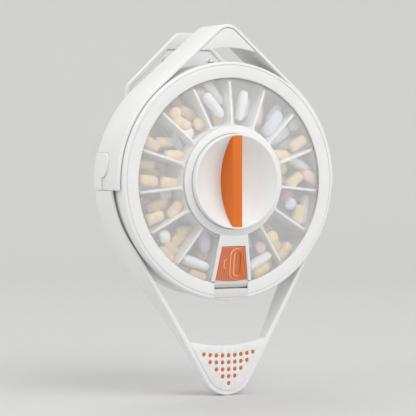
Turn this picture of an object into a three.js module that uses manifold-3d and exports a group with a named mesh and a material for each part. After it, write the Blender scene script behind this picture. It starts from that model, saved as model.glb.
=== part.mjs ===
// Travel pill organizer: a round case with a turning tray of sector compartments under a
// frosted cover, a central knob that turns the tray, a hinged dispensing door, a hanging loop
// above, a pointed loop below and a sprung strap clip behind.
//
// Millimetres, +Z up. The tray's axis is the Y axis and the front faces -Y. The pieces are drawn
// about a datum plane inside the case's floor, and the whole group is then placed so that the
// origin is on the tray's axis at the flat back face of the rear shell.

import * as THREE from 'three';
import { mergeVertices } from 'three/addons/utils/BufferGeometryUtils.js';
import Module from 'manifold-3d';

const wasm = await Module();
wasm.setup();

// ---------------------------------------------------------------- driving dimensions

const GAP = 0.3;                    // clearance between neighbouring pieces
const ROUND = 60;                   // facets round a large circle
const SMALL = 16;                   // facets round a small one
const TINY = 10;                    // facets round a pin or a screw

const CASE_R = 83;                  // outer radius of both loops where they hug the case
const REAR_Y = 2;                   // back face of the case
const SHELL_R = 79.4;               // outer radius of the rear shell's side wall
const SHELL_Y = -25;                // front edge of that wall
const SHELL_WALL = 2.2;
const SHELL_FLOOR = 2.8;
const LOOP_END_Z = -5.8;            // height at which the upper and lower loops meet

const LOOP_WALL = 2.3;
const LOOP_FRONT_Y = -30.4;
const LOOP_BEVEL = 2.4;             // length of the bevel round the upper loop's edges
const LOOP_DRAFT = 0.02;            // how much wider both loops are at their back edge
const APEX_R = 12;                  // outer radius at the top of the upper loop
const APEX_Z = 93.6;                // centre of that radius
const WEB_ARC_R = 90;               // lower edge of the web, concentric with the case
const WEB_BOTTOM_Z = 84;
const WEB_GAP = 0.7;

const TIP_R = 20;                   // outer radius at the foot of the lower loop
const TIP_Z = -125;                 // centre of that radius
const LEG_WALL = 4.2;               // width of the lower loop's legs at the foot
const PLATE_ARC_R = 111.3;          // top edge of the foot plate, concentric with the case
const PLATE_RIM = 2.2;
const CROWN_R = 420;                // the foot plate's shallow dome
const CROWN_Y = -30.9;
const CROWN_Z = -129;
const DOT_PITCH = 4.72;
const DOT_R = 1.45;
const DOT_TOP_R = 117.9;            // radius of the arc that the top row of holes follows
const DOT_ROWS = 5;

const BEZEL_OUT_R = 79.8;
const BEZEL_IN_R = 69.4;
const BEZEL_Y = -34;
const WINDOW_EDGE_Y = -32.8;        // front of the window where it passes under the bezel
const WINDOW_HUB_Y = -37.2;         // front of the window at its central bore
const WINDOW_T = 1;
const WINDOW_BORE_R = 34.4;

const SECTORS = 15;
const TRAY_R = 73.2;
const TRAY_WALL = 1.8;
const TRAY_BACK_Y = -8.2;
const TRAY_FLOOR_Y = -10;
const TRAY_RIM_Y = -29.6;           // front of the tray's rim, set back behind the door's hinge
const TRAY_STEP_R = 67.4;           // where the dividers step back to the rim
const HUB_OUT_R = 38;
const HUB_IN_R = 35.8;
const DIVIDER_T = 1.6;
const WALL_CLEAR = 0.45;            // between the dividers and the window

const KNOB_R = 31.9;
const KNOB_Y = -42.9;               // rim of the knob
const BOWL_R = 31;                  // mouth of the knob's dished face
const BOWL_DEPTH = 12.6;
const GRIP_W = 7.6;                 // width of the grip's front edge
const GRIP_DRAFT = Math.tan(THREE.MathUtils.degToRad(12));
const GRIP_SCREWS = [-18, 18];

const DOOR_TOP_Z = -43.8;
const DOOR_LOW_Z = -67.2;
const DOOR_TOP_HALF = 8.7;
const DOOR_LOW_HALF = 12.5;
const DOOR_T = 1.7;
const DOOR_TILT = THREE.MathUtils.degToRad(7.4);
const DOOR_FRONT_Y = -34.1;         // front of the door at its lower edge
const DOOR_PIN_Y = -31.4;
const DOOR_PIN_Z = -70.3;
const DOOR_PIN_R = 0.75;
const DOOR_PIN_HOLE_R = 1.05;
const DOOR_LEAF_HALF = 12.3;        // half width of the leaf that joins the door to its pin
const CHUTE_TOP_Z = -72.9;
const CHUTE_LOW_Z = -78.3;
const PULL_X = 3.2;                 // raised pull ring on the door
const PULL_W = 9.4;
const PULL_TOP_Z = -45.2;
const PULL_LOW_Z = -66;

const BUTTON_R = 85.2;              // outer radius of the side buttons, proud of the case
const BUTTON_TOP_Z = 19.4;
const BUTTON_LOW_Z = -5.4;

const CLIP_HALF = 48.5;             // half width of the strap clip
const CLIP_TOP_Z = 102.4;
const CLIP_SHOULDER_Z = 65;
const CLIP_LOW_Z = -22;
const CLIP_FRONT_Y = 26.5;
const CLIP_BACK_Y = 30.5;
const CLIP_RIM = 3;
const CLIP_WEB_Z = 90.5;
const CLIP_AXIS_Y = 14;
const CLIP_AXIS_Z = -8;
const CLIP_SCREW_X = 18;
const CLIP_SCREW_Z = 81.5;
const CLIP_ARMS = [-19, 15];        // left sides of the two arms that hold it to the pin
const CLIP_PIN_HOLE_R = 2.3;
const SCREW_HOLE_R = 1.5;
const BLOCK_SCREW_X = 30.5;
const BLOCK_SCREW_Z = [-14, -2];

// ---------------------------------------------------------------- solids

function toSolid(geometry) {
  const bare = geometry.clone();
  bare.deleteAttribute('normal');
  bare.deleteAttribute('uv');
  const merged = mergeVertices(bare, 1e-4);
  const points = merged.attributes.position;
  const a = new THREE.Vector3();
  const b = new THREE.Vector3();
  const c = new THREE.Vector3();
  const triangles = [];
  let volume = 0;
  for (let i = 0; i < merged.index.count; i += 3) {
    const corners = [0, 1, 2].map((k) => merged.index.getX(i + k));
    if (new Set(corners).size < 3) continue;
    a.fromBufferAttribute(points, corners[0]);
    b.fromBufferAttribute(points, corners[1]);
    c.fromBufferAttribute(points, corners[2]);
    volume += a.dot(b.cross(c));
    triangles.push(corners);
  }
  if (volume < 0) triangles.forEach((corners) => corners.reverse());
  return new wasm.Manifold(new wasm.Mesh({
    numProp: 3,
    vertProperties: new Float32Array(points.array),
    triVerts: new Uint32Array(triangles.flat()),
  }));
}

function toGeometry(solid) {
  const mesh = solid.getMesh();
  const geometry = new THREE.BufferGeometry();
  geometry.setAttribute('position', new THREE.BufferAttribute(mesh.vertProperties, 3));
  geometry.setIndex(new THREE.BufferAttribute(mesh.triVerts, 1));
  return geometry;
}

function join(solids) {
  return solids.reduce((sum, solid) => sum.add(solid));
}

function cut(solid, cutters) {
  return cutters.reduce((rest, cutter) => rest.subtract(cutter), solid);
}

// A body of revolution about Y from [radius, y] points.
function lathe(profile, facets = ROUND) {
  const points = profile.map(([r, y]) => new THREE.Vector2(r, y));
  const closed = profile[0][0] === 0 && profile.at(-1)[0] === 0;
  if (!closed) points.push(points[0].clone());
  return toSolid(new THREE.LatheGeometry(points, facets));
}

function ring(outer, inner, yFront, yBack, facets = ROUND) {
  return lathe([[inner, yFront], [outer, yFront], [outer, yBack], [inner, yBack]], facets);
}

function disc(radius, yFront, yBack, facets = SMALL) {
  return lathe([[0, yFront], [radius, yFront], [radius, yBack], [0, yBack]], facets);
}

function toShape(points) {
  return new THREE.Shape(points.map(([u, v]) => new THREE.Vector2(u, v)));
}

// An (x, z) outline, extruded along Y.
function plateY(points, yFront, yBack) {
  const depth = yBack - yFront;
  const geometry = new THREE.ExtrudeGeometry(toShape(points), { depth, bevelEnabled: false });
  geometry.rotateX(Math.PI / 2).translate(0, yBack, 0);
  return toSolid(geometry);
}

// A (y, z) outline, extruded along X.
function plateX(points, xLow, xHigh) {
  const depth = xHigh - xLow;
  const geometry = new THREE.ExtrudeGeometry(toShape(points), { depth, bevelEnabled: false });
  geometry.applyMatrix4(new THREE.Matrix4().makeBasis(
    new THREE.Vector3(0, 1, 0), new THREE.Vector3(0, 0, 1), new THREE.Vector3(1, 0, 0)));
  geometry.translate(xLow, 0, 0);
  return toSolid(geometry);
}

function block([x0, x1], [y0, y1], [z0, z1]) {
  const geometry = new THREE.BoxGeometry(x1 - x0, y1 - y0, z1 - z0);
  geometry.translate((x0 + x1) / 2, (y0 + y1) / 2, (z0 + z1) / 2);
  return toSolid(geometry);
}

function rod(radius, from, to, facets = TINY) {
  const start = new THREE.Vector3(...from);
  const end = new THREE.Vector3(...to);
  const along = end.clone().sub(start);
  const geometry = new THREE.CylinderGeometry(radius, radius, along.length(), facets);
  const turn = new THREE.Quaternion().setFromUnitVectors(
    new THREE.Vector3(0, 1, 0), along.clone().normalize());
  const middle = start.add(end).multiplyScalar(0.5);
  geometry.applyQuaternion(turn).translate(middle.x, middle.y, middle.z);
  return toSolid(geometry);
}

// ---------------------------------------------------------------- outlines

// A large circle about the origin and a small one above or below it, joined by tangents.
function teardrop(bigR, tipR, tipZ, bigSteps = 52, tipSteps = 10) {
  const reach = Math.acos((bigR - tipR) / Math.abs(tipZ));
  const up = Math.sign(tipZ);
  const points = [];
  for (let i = 0; i <= tipSteps; i++) {
    const a = reach * (2 * i / tipSteps - 1);
    points.push([tipR * Math.sin(a), tipZ + up * tipR * Math.cos(a)]);
  }
  for (let i = 0; i <= bigSteps; i++) {
    const a = reach + (2 * Math.PI - 2 * reach) * i / bigSteps;
    points.push([bigR * Math.sin(a), up * bigR * Math.cos(a)]);
  }
  return points;
}

// A polygon with each corner rounded by its own radius.
function rounded(corners, steps = 4) {
  const points = [];
  const count = corners.length;
  corners.forEach(([x, z, radius], i) => {
    const here = new THREE.Vector2(x, z);
    const before = new THREE.Vector2(...corners[(i + count - 1) % count].slice(0, 2));
    const after = new THREE.Vector2(...corners[(i + 1) % count].slice(0, 2));
    const toBefore = before.sub(here).normalize();
    const toAfter = after.sub(here).normalize();
    const half = Math.acos(toBefore.dot(toAfter)) / 2;
    const run = radius / Math.tan(half);
    const start = here.clone().addScaledVector(toBefore, run);
    const end = here.clone().addScaledVector(toAfter, run);
    const curve = new THREE.QuadraticBezierCurve(start, here, end);
    curve.getPoints(steps).forEach((p) => points.push([p.x, p.y]));
  });
  return points;
}

function house(inset) {
  const half = CLIP_HALF - inset;
  const shoulder = CLIP_SHOULDER_Z - 0.4 * inset;
  const top = CLIP_TOP_Z - inset;
  const flat = 8.5 - 0.4 * inset;
  const low = CLIP_LOW_Z + inset;
  return rounded([
    [half, low, 9 - inset], [half, shoulder, 9], [flat, top, 5], [-flat, top, 5],
    [-half, shoulder, 9], [-half, low, 9 - inset],
  ]);
}

// Front of the window at a radius: a shallow dome that rises towards the knob.
function windowFront(radius) {
  const t = (radius - WINDOW_BORE_R) / (BEZEL_IN_R - WINDOW_BORE_R);
  return WINDOW_HUB_Y + (WINDOW_EDGE_Y - WINDOW_HUB_Y) * Math.max(t, 0) ** 1.5;
}

function domeRadii(inner, outer, steps) {
  return Array.from({ length: steps + 1 }, (_, i) => inner + (outer - inner) * i / steps);
}

// ---------------------------------------------------------------- case

function rearShell() {
  const floor = REAR_Y - SHELL_FLOOR;
  const dish = lathe([
    [0, REAR_Y], [SHELL_R - 1.8, REAR_Y], [SHELL_R, REAR_Y - 1.6], [SHELL_R, SHELL_Y],
    [SHELL_R - SHELL_WALL, SHELL_Y], [SHELL_R - SHELL_WALL, floor], [7.5, floor], [7.5, -5.6],
    [3.3, -5.6], [3.3, 0.4], [0, 0.4],
  ]);
  const post = disc(4, -5, 0).translate(0, 0, -52);
  const stemHoles = rod(2.4, [-90, -6, 8], [90, -6, 8])
    .subtract(block([-76, 76], [-12, 0], [0, 16]));
  const pilot = rod(1.1, [0, -8, -52], [0, -1.5, -52]);
  return cut(dish.add(post), [stemHoles, pilot]);
}

// The upper loop's outer form, bevelled round its front and back edges.
function loopForm() {
  const depth = REAR_Y - GAP - LOOP_FRONT_Y - 2 * LOOP_BEVEL;
  const geometry = new THREE.ExtrudeGeometry(toShape(teardrop(CASE_R, APEX_R, APEX_Z)), {
    depth, bevelThickness: LOOP_BEVEL, bevelSize: 1.5, bevelOffset: -1.5, bevelSegments: 2,
  });
  geometry.rotateX(Math.PI / 2).translate(0, REAR_Y - GAP - LOOP_BEVEL, 0);
  return drafted(toSolid(geometry));
}

// Widens a loop's form in step with its depth, as the mould's draft does.
function drafted(solid) {
  const depth = REAR_Y - LOOP_FRONT_Y;
  return solid.warp((point) => {
    point[0] *= 1 + LOOP_DRAFT * (point[1] - LOOP_FRONT_Y) / depth;
  });
}

// The D-shaped outline of a side button, seen from the side as (y, z).
function buttonOutline(clearance) {
  const front = -9.4 - clearance;
  const low = BUTTON_LOW_Z - clearance;
  const top = BUTTON_TOP_Z + clearance;
  const lobeZ = 11;
  const lobeHalf = 8.2 + clearance;
  const lobeReach = 7.2;
  const points = [[6, low], [6, top]];
  for (let i = 0; i <= 8; i++) {
    const a = Math.PI * i / 8;
    points.push([front - lobeReach * Math.sin(a) ** 0.8, lobeZ + lobeHalf * Math.cos(a)]);
  }
  points.push([front, low]);
  return points;
}

function upperLoop() {
  const hollow = drafted(
    plateY(teardrop(CASE_R - LOOP_WALL, APEX_R - LOOP_WALL, APEX_Z), -40, 10));
  const below = block([-90, 90], [-40, 10], [-90, LOOP_END_Z + GAP]);
  const notches = [-90, 76].map((x) => plateX(buttonOutline(GAP), x, x + 14));
  return cut(loopForm(), [hollow, below, ...notches]);
}

function topWeb() {
  const inset = LOOP_WALL + WEB_GAP;
  const inside = plateY(teardrop(CASE_R - inset, APEX_R - inset, APEX_Z), -29.6, -26.6);
  return cut(inside, [
    disc(WEB_ARC_R, -31, -20, ROUND),
    block([-90, 90], [-31, -20], [-90, WEB_BOTTOM_Z]),
  ]);
}

// Side view of the lower loop: deep beside the case, shallow at the foot.
function legProfile() {
  return [
    [-20, LOOP_END_Z], [-22.5, -29], [-26, -47], [-27.5, -60], [-30, -112], [-30, -150],
    [-22.6, -150], [-22.2, -114], [-18, -99], [-12, -83], [-8.8, -72], [-6.6, -64],
    [-1, -55], [REAR_Y - GAP, -47], [REAR_Y - GAP, LOOP_END_Z],
  ];
}

function lowerLoop() {
  const outer = drafted(plateY(teardrop(CASE_R, TIP_R, TIP_Z), -34, 4));
  const hollow = drafted(
    plateY(teardrop(CASE_R - LOOP_WALL, TIP_R - LEG_WALL, TIP_Z), -35, 5));
  const above = hollow.intersect(disc(PLATE_ARC_R, -36, 6, 120));
  const below = hollow.subtract(disc(PLATE_ARC_R + PLATE_RIM, -36, 6, 120));
  return cut(outer, [above, below]).intersect(plateX(legProfile(), -90, 90));
}

function dotPlaces() {
  const places = [];
  for (let row = 0; row < DOT_ROWS; row++) {
    const arc = DOT_TOP_R + row * DOT_PITCH;
    const count = 2 * (DOT_ROWS - row) - 1;
    for (let i = 0; i < count; i++) {
      const x = (i - (count - 1) / 2) * DOT_PITCH;
      places.push([x, -Math.sqrt(arc * arc - x * x)]);
    }
  }
  return places;
}

// The foot plate's crowned front: a shallow dome about the middle of the foot.
function crown(inset) {
  const dome = [0, 10, 20, 30, 40].map((r) => [r, CROWN_Y + inset + r ** 2 / (2 * CROWN_R)]);
  return lathe([...dome, [40, -20], [0, -20]], ROUND).translate(0, 0, CROWN_Z);
}

function footInside(inset, yFront, yBack) {
  const outline = teardrop(CASE_R - LOOP_WALL - inset, TIP_R - LEG_WALL - inset, TIP_Z);
  return plateY(outline, yFront, yBack)
    .subtract(disc(PLATE_ARC_R + PLATE_RIM + inset, yFront - 1, yBack + 1, 120));
}

function tipPlate() {
  const plate = footInside(GAP, -33, -26).intersect(crown(0));
  return cut(plate, dotPlaces().map(([x, z]) => rod(DOT_R, [x, -35, z], [x, -25, z], 6)));
}

function tipGrip() {
  const backing = footInside(GAP + 0.4, -25.6, -24.2);
  const studs = dotPlaces().map(([x, z]) => rod(DOT_R - GAP, [x, -34, z], [x, -25, z], 6));
  return backing.add(join(studs).intersect(crown(0.3)));
}

function spindle() {
  return lathe([
    [0, 0.1], [3, 0.1], [3, -7.2], [2.6, -7.6], [2.6, -20.4], [2, -21], [0, -21],
  ], SMALL);
}

function thrustWasher() {
  return ring(7, 3.3, -7.4, -5.9, SMALL);
}

function sealRing() {
  return ring(77.0, 75.6, -20.6, -19.2);
}

// A leaf fixed near the foot of the shell whose nose rides the index wheel's notches.
function detentLeaf() {
  const pad = disc(4, -5.9, -5.3, SMALL).translate(0, 0, -52);
  const strip = block([-1.8, 1.8], [-5.9, -5.3], [-53, -36.5]);
  const nose = rod(0.9, [-1.8, -6.6, -36.1], [1.8, -6.6, -36.1]);
  const bridge = block([-1.8, 1.8], [-6.8, -5.3], [-37.2, -36.3]);
  return cut(join([pad, strip, bridge, nose]), [rod(1.5, [0, -9, -52], [0, -2, -52])]);
}

function detentScrew() {
  const head = disc(2.6, -7.4, -6.2, 12).translate(0, 0, -52);
  return head.add(rod(0.8, [0, -7, -52], [0, -2.9, -52]));
}

// ---------------------------------------------------------------- cover

function coverBezel() {
  const body = lathe([
    [BEZEL_OUT_R, SHELL_Y - GAP], [BEZEL_OUT_R, -32.9], [79.1, -33.8], [78.3, -33.9],
    [77.9, -33.4], [77.5, BEZEL_Y], [BEZEL_IN_R + 0.5, BEZEL_Y], [BEZEL_IN_R, -33.6],
    [BEZEL_IN_R, -33.1], [75.6, -33.1], [75.6, -21], [76.8, -21], [76.8, SHELL_Y - GAP],
  ]);
  const half = DOOR_LOW_HALF + 0.4;
  return body.subtract(block([-half, half], [-40, -31], [CHUTE_LOW_Z - GAP, -60]));
}

function coverWindow() {
  const radii = domeRadii(WINDOW_BORE_R, BEZEL_IN_R, 4);
  const front = radii.map((r) => [r, windowFront(r)]);
  const back = radii.map((r) => [r, windowFront(r) + WINDOW_T]).reverse();
  const skirt = [[75.2, WINDOW_EDGE_Y], [75.2, WINDOW_EDGE_Y + WINDOW_T]];
  const glass = lathe([...front, ...skirt, ...back]);
  const doorway = [[10.5, -36], [14.9, -66.5], [14.9, -80], [-14.9, -80], [-14.9, -66.5],
    [-10.5, -36]];
  return glass.subtract(plateY(doorway, -45, -25));
}

function knobCollar() {
  return lathe([
    [32.6, -33.2], [34.1, -33.2], [34.1, -37.5], [36.7, -37.5], [36.7, -38], [36.1, -38.5],
    [33.1, -38.5], [32.6, -38],
  ], 48);
}

// Outline of the door, grown by a margin.
function doorOutline(margin) {
  const slope = (DOOR_LOW_HALF - DOOR_TOP_HALF) / (DOOR_TOP_Z - DOOR_LOW_Z);
  const low = DOOR_LOW_Z + 0.9 - margin;
  const top = DOOR_TOP_Z + margin;
  const halfAt = (z) => DOOR_TOP_HALF + slope * (DOOR_TOP_Z - z) + margin;
  const points = [[halfAt(top), top], [-halfAt(top), top]];
  const steps = 6;
  for (let i = 0; i <= steps; i++) {
    const x = halfAt(low) * (2 * i / steps - 1);
    const bow = 1.2 * (1 - (x / halfAt(low)) ** 2);
    points.push([x, low - bow]);
  }
  return points;
}

// Leans a plate back so that it follows the slope of the window.
function lean(solid) {
  const angle = THREE.MathUtils.radToDeg(DOOR_TILT);
  return solid.translate(0, -DOOR_FRONT_Y, -DOOR_LOW_Z).rotate(angle, 0, 0)
    .translate(0, DOOR_FRONT_Y, DOOR_LOW_Z);
}

function doorPinLine(radius, reach) {
  return rod(radius, [-reach, DOOR_PIN_Y, DOOR_PIN_Z], [reach, DOOR_PIN_Y, DOOR_PIN_Z]);
}

function doorFrame() {
  const outline = [[10, -37.2], [14.3, -67.3], [-14.3, -67.3], [-10, -37.2]];
  const plate = plateY(outline, DOOR_FRONT_Y - 0.5, DOOR_FRONT_Y + DOOR_T);
  const opening = plateY([...doorOutline(GAP).slice(0, 2), [-13.1, -70], [13.1, -70]], -38, -30);
  const rails = lean(cut(plate, [opening]));
  const ears = [-14.3, 12.9].map((x) => join([
    block([x, x + 1.4], [-32.7, -32.1], [-71.6, -65.6]),
    block([x, x + 1.4], [-32.7, -30.2], [-71.6, -69.1]),
  ]));
  const collarRoom = disc(37, -39, -30, ROUND);
  return cut(join([rails, ...ears]), [doorPinLine(DOOR_PIN_HOLE_R, 20), collarRoom]);
}

// An upright slot shape with round ends.
function stadium(x, width, top, low) {
  const radius = width / 2;
  const points = [];
  for (const [z, start] of [[top - radius, 0], [low + radius, Math.PI]]) {
    for (let i = 0; i <= 6; i++) {
      const a = start + Math.PI * i / 6;
      points.push([x + radius * Math.cos(a), z + radius * Math.sin(a)]);
    }
  }
  return points;
}

function doorFlap() {
  const plate = lean(plateY(doorOutline(0), DOOR_FRONT_Y, DOOR_FRONT_Y + DOOR_T));
  const leaf = plateX([
    [-33.9, -66.6], [-32.3, -66.6], [-32.3, -68.4], [-30.2, -69.8], [-30.5, -71.3], [-32, -71.6],
    [-33.1, -70.6], [-33.9, -68.6],
  ], -DOOR_LEAF_HALF, DOOR_LEAF_HALF);
  const pull = stadium(PULL_X, PULL_W, PULL_TOP_Z, PULL_LOW_Z);
  const slot = stadium(PULL_X, PULL_W - 4.4, PULL_TOP_Z - 2.2, PULL_LOW_Z + 2.2);
  const ringY = DOOR_FRONT_Y - 1.2;
  const pullRing = plateY(pull, ringY, DOOR_FRONT_Y + 0.4).subtract(plateY(slot, -40, -30));
  const tab = plateY(stadium(-4.9, 2.6, -52.6, -58.4), ringY + 0.5, DOOR_FRONT_Y + 0.4);
  return cut(join([plate, lean(pullRing), lean(tab), leaf]), [doorPinLine(DOOR_PIN_HOLE_R, 20)]);
}

function doorPin() {
  return doorPinLine(DOOR_PIN_R, 14);
}

// See-through strip across the bezel below the door.
function chuteWindow() {
  const half = DOOR_LOW_HALF + 0.1;
  return block([-half, half], [BEZEL_Y, BEZEL_Y + 1], [CHUTE_LOW_Z, CHUTE_TOP_Z]);
}

// ---------------------------------------------------------------- tray

function carouselTray() {
  const front = (r) => windowFront(r) + WINDOW_T + WALL_CLEAR;
  const bowl = lathe([
    [TRAY_R, TRAY_BACK_Y], [TRAY_R, TRAY_RIM_Y], [TRAY_R - TRAY_WALL, TRAY_RIM_Y],
    [TRAY_R - TRAY_WALL, TRAY_FLOOR_Y], [HUB_OUT_R, TRAY_FLOOR_Y], [HUB_OUT_R, front(HUB_OUT_R)],
    [HUB_IN_R, front(HUB_OUT_R)], [HUB_IN_R, TRAY_FLOOR_Y], [8, TRAY_FLOOR_Y], [8, -21.6],
    [3.4, -21.6], [3.4, TRAY_BACK_Y],
  ]);
  const radii = domeRadii(HUB_OUT_R - 1, TRAY_STEP_R, 3);
  const rim = TRAY_R - TRAY_WALL / 2;
  const root = TRAY_FLOOR_Y + 0.9;
  const side = [
    ...radii.map((r) => [front(r), -r]),
    [TRAY_RIM_Y, -TRAY_STEP_R], [TRAY_RIM_Y, -rim], [root, -rim], [root, -(HUB_OUT_R - 1)],
  ];
  const divider = plateX(side, -DIVIDER_T / 2, DIVIDER_T / 2);
  const step = 360 / SECTORS;
  const dividers = Array.from({ length: SECTORS }, (_, i) =>
    divider.rotate(0, step * (i + 0.5), 0));
  const tongue = block([-6, 6], [-25.8, -21.2], [-2, 2])
    .subtract(rod(3.4, [0, -27, 0], [0, -20, 0], SMALL));
  return join([bowl, ...dividers, tongue]);
}

// Notched ring behind the tray, one notch for each compartment.
function indexWheel() {
  const wheel = ring(34.6, 28, -7.9, -5.2, 45);
  const notches = Array.from({ length: SECTORS }, (_, i) => {
    const a = 2 * Math.PI * i / SECTORS;
    const x = 35.4 * Math.sin(a);
    const z = -35.4 * Math.cos(a);
    return rod(2, [x, -9, z], [x, -4, z], 6);
  });
  return cut(wheel, notches);
}

// ---------------------------------------------------------------- knob

function bowlRadius() {
  return (BOWL_R ** 2 + BOWL_DEPTH ** 2) / (2 * BOWL_DEPTH);
}

function bowlPoint(radius) {
  const sphere = bowlRadius();
  return KNOB_Y + BOWL_DEPTH - sphere + Math.sqrt(sphere ** 2 - radius ** 2);
}

function knobBody() {
  const face = domeRadii(0, BOWL_R, 5).map((r) => [r, bowlPoint(r)]);
  const behind = domeRadii(9.4, 26.5, 2).map((r) => [r, bowlPoint(r) + 2.2]).reverse();
  const body = lathe([
    ...face, [KNOB_R - 0.3, KNOB_Y], [KNOB_R, KNOB_Y + 0.5], [KNOB_R, -32.9], [31.1, -32.9],
    [31.1, -31.2], [KNOB_R, -31.2], [KNOB_R, -30.2], [29.4, -30.2], [29.4, -36.4], ...behind,
    [9.4, -22], [0, -22],
  ], 40);
  const slot = block([-6.5, 6.5], [-26.4, -20], [-2.5, 2.5]);
  const screwHoles = GRIP_SCREWS.map((z) => rod(SCREW_HOLE_R, [0, -40, z], [0, -20, z]));
  return cut(body, [slot, ...screwHoles]);
}

// The raised grip across the knob: level with the rim, its foot following the dished face.
function knobGrip() {
  const depth = BOWL_DEPTH + 1;
  const half = GRIP_W / 2;
  const foot = half + depth * GRIP_DRAFT;
  const section = [
    [-half + 0.8, KNOB_Y], [half - 0.8, KNOB_Y], [half, KNOB_Y + 0.8], [foot, KNOB_Y + depth],
    [-foot, KNOB_Y + depth], [-half, KNOB_Y + 0.8],
  ];
  const shape = toShape(section);
  const bar = new THREE.ExtrudeGeometry(shape, { depth: 2 * BOWL_R, bevelEnabled: false });
  bar.translate(0, 0, -BOWL_R);
  const sphere = new THREE.SphereGeometry(bowlRadius() - 0.6, 48, 24);
  sphere.translate(0, KNOB_Y + BOWL_DEPTH - bowlRadius(), 0);
  const grip = toSolid(bar).intersect(toSolid(sphere));
  return cut(grip, GRIP_SCREWS.map((z) => rod(1.1, [0, -38, z], [0, -25, z])));
}

function gripScrew(z) {
  const seat = bowlPoint(Math.abs(z)) + 2.2;
  const head = rod(2.6, [0, seat + 0.9, z], [0, seat + 2.3, z]);
  const shank = rod(0.8, [0, seat + 1, z], [0, -37.4, z]);
  return head.add(shank);
}

function knobRetainer() {
  const washer = ring(33.6, 31.5, -32.6, -31.5, 36);
  return washer.subtract(block([-3, 3], [-34, -30], [25, 40]));
}

// ---------------------------------------------------------------- side buttons

function sideButton(side) {
  const shell = ring(BUTTON_R, 81.3, -26, 4, 96);
  const pad = shell.intersect(plateX(buttonOutline(0), side < 0 ? -90 : 76, side < 0 ? -76 : 90))
    .intersect(block([-90, 90], [-30, REAR_Y - 0.4], [-20, 30]));
  const stem = rod(2, [side * 82.4, -6, 8], [side * 75.4, -6, 8]);
  const hook = block(
    side < 0 ? [-76.4, -75] : [75, 76.4], [-17.6, -5], [6.2, 9.8]);
  return join([pad, stem, hook]);
}

// ---------------------------------------------------------------- strap clip

function clipFrame() {
  const body = plateY(house(0), CLIP_FRONT_Y, CLIP_BACK_Y);
  const pocket = plateY(house(CLIP_RIM), CLIP_FRONT_Y - 1, CLIP_BACK_Y - 1.5)
    .subtract(block([-60, 60], [20, 40], [CLIP_WEB_Z, 120]));
  const window = plateY(house(CLIP_RIM), CLIP_FRONT_Y - 1, CLIP_BACK_Y + 1)
    .intersect(block([-60, 60], [20, 40], [6, 76]));
  const arms = CLIP_ARMS.map((x) => plateX([
    [CLIP_BACK_Y - 1, -19], [CLIP_BACK_Y - 1, 3], [CLIP_AXIS_Y + 1, CLIP_AXIS_Z + 4],
    [CLIP_AXIS_Y - 3, CLIP_AXIS_Z + 2.6], [CLIP_AXIS_Y - 4, CLIP_AXIS_Z - 1],
    [CLIP_AXIS_Y - 1.5, CLIP_AXIS_Z - 4],
  ], x, x + 4));
  const screwHoles = clipScrewPlaces().map(([x, z]) => rod(SCREW_HOLE_R, [x, 20, z], [x, 35, z]));
  return cut(join([cut(body, [pocket, window]), ...arms]),
    [onClipAxis(CLIP_PIN_HOLE_R, -40, 40), ...screwHoles]);
}

function clipScrewPlaces() {
  return [-1, 1].flatMap((side) => [
    [side * CLIP_SCREW_X, CLIP_SCREW_Z], [side * 2 * CLIP_SCREW_X, 0],
  ]);
}

function clipPanel() {
  const panel = plateY(house(CLIP_RIM + GAP), CLIP_FRONT_Y + 0.9, CLIP_BACK_Y - 1.8)
    .subtract(block([-60, 60], [20, 40], [CLIP_WEB_Z - GAP, 120]));
  const armRoom = CLIP_ARMS.map((x) => block([x - 0.4, x + 4.4], [20, 40], [-19.4, 3.4]));
  const screwHoles = clipScrewPlaces().map(([x, z]) => rod(SCREW_HOLE_R, [x, 20, z], [x, 35, z]));
  return cut(panel, [...armRoom, ...screwHoles]);
}

function clipScrew([x, z]) {
  const head = rod(3, [x, CLIP_FRONT_Y - 1, z], [x, CLIP_FRONT_Y + 0.6, z], 12);
  return head.add(rod(1.15, [x, CLIP_FRONT_Y, z], [x, CLIP_BACK_Y - 0.2, z], 8));
}

function clipBlock(side) {
  const seat = REAR_Y + GAP;
  const [inner, outer] = side < 0 ? [-24, -19.4] : [19.4, 24];
  const ear = plateX([
    [seat, 4], [seat, -20], [CLIP_AXIS_Y - 1, CLIP_AXIS_Z - 5], [CLIP_AXIS_Y + 4, CLIP_AXIS_Z - 3],
    [CLIP_AXIS_Y + 4, CLIP_AXIS_Z + 3], [CLIP_AXIS_Y - 1, CLIP_AXIS_Z + 5],
  ], inner, outer);
  const flangeX = side < 0 ? [-36, -19.4] : [19.4, 36];
  const flange = block(flangeX, [seat, seat + 3], [-20, 4]);
  const screwHoles = BLOCK_SCREW_Z.map((z) => rod(SCREW_HOLE_R, [side * BLOCK_SCREW_X, 0, z],
    [side * BLOCK_SCREW_X, 8, z]));
  return cut(ear.add(flange), [onClipAxis(CLIP_PIN_HOLE_R, -40, 40), ...screwHoles]);
}

function blockScrew(side, z) {
  const x = side * BLOCK_SCREW_X;
  const head = rod(2.8, [x, 5.6, z], [x, 7.4, z], 12);
  return head.add(rod(1.15, [x, REAR_Y + GAP, z], [x, 6, z], 8));
}

// A bar along the clip's axis.
function onClipAxis(radius, low, high) {
  return rod(radius, [low, CLIP_AXIS_Y, CLIP_AXIS_Z], [high, CLIP_AXIS_Y, CLIP_AXIS_Z], SMALL);
}

function clipPin() {
  return join([onClipAxis(2, -25.4, 25.4), onClipAxis(3, -26.6, -24.4), onClipAxis(3, 24.4, 26.6)]);
}

function clipSpring() {
  return onClipAxis(4.3, -12, 12).subtract(onClipAxis(2.4, -14, 14));
}

// ---------------------------------------------------------------- assembly

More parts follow.
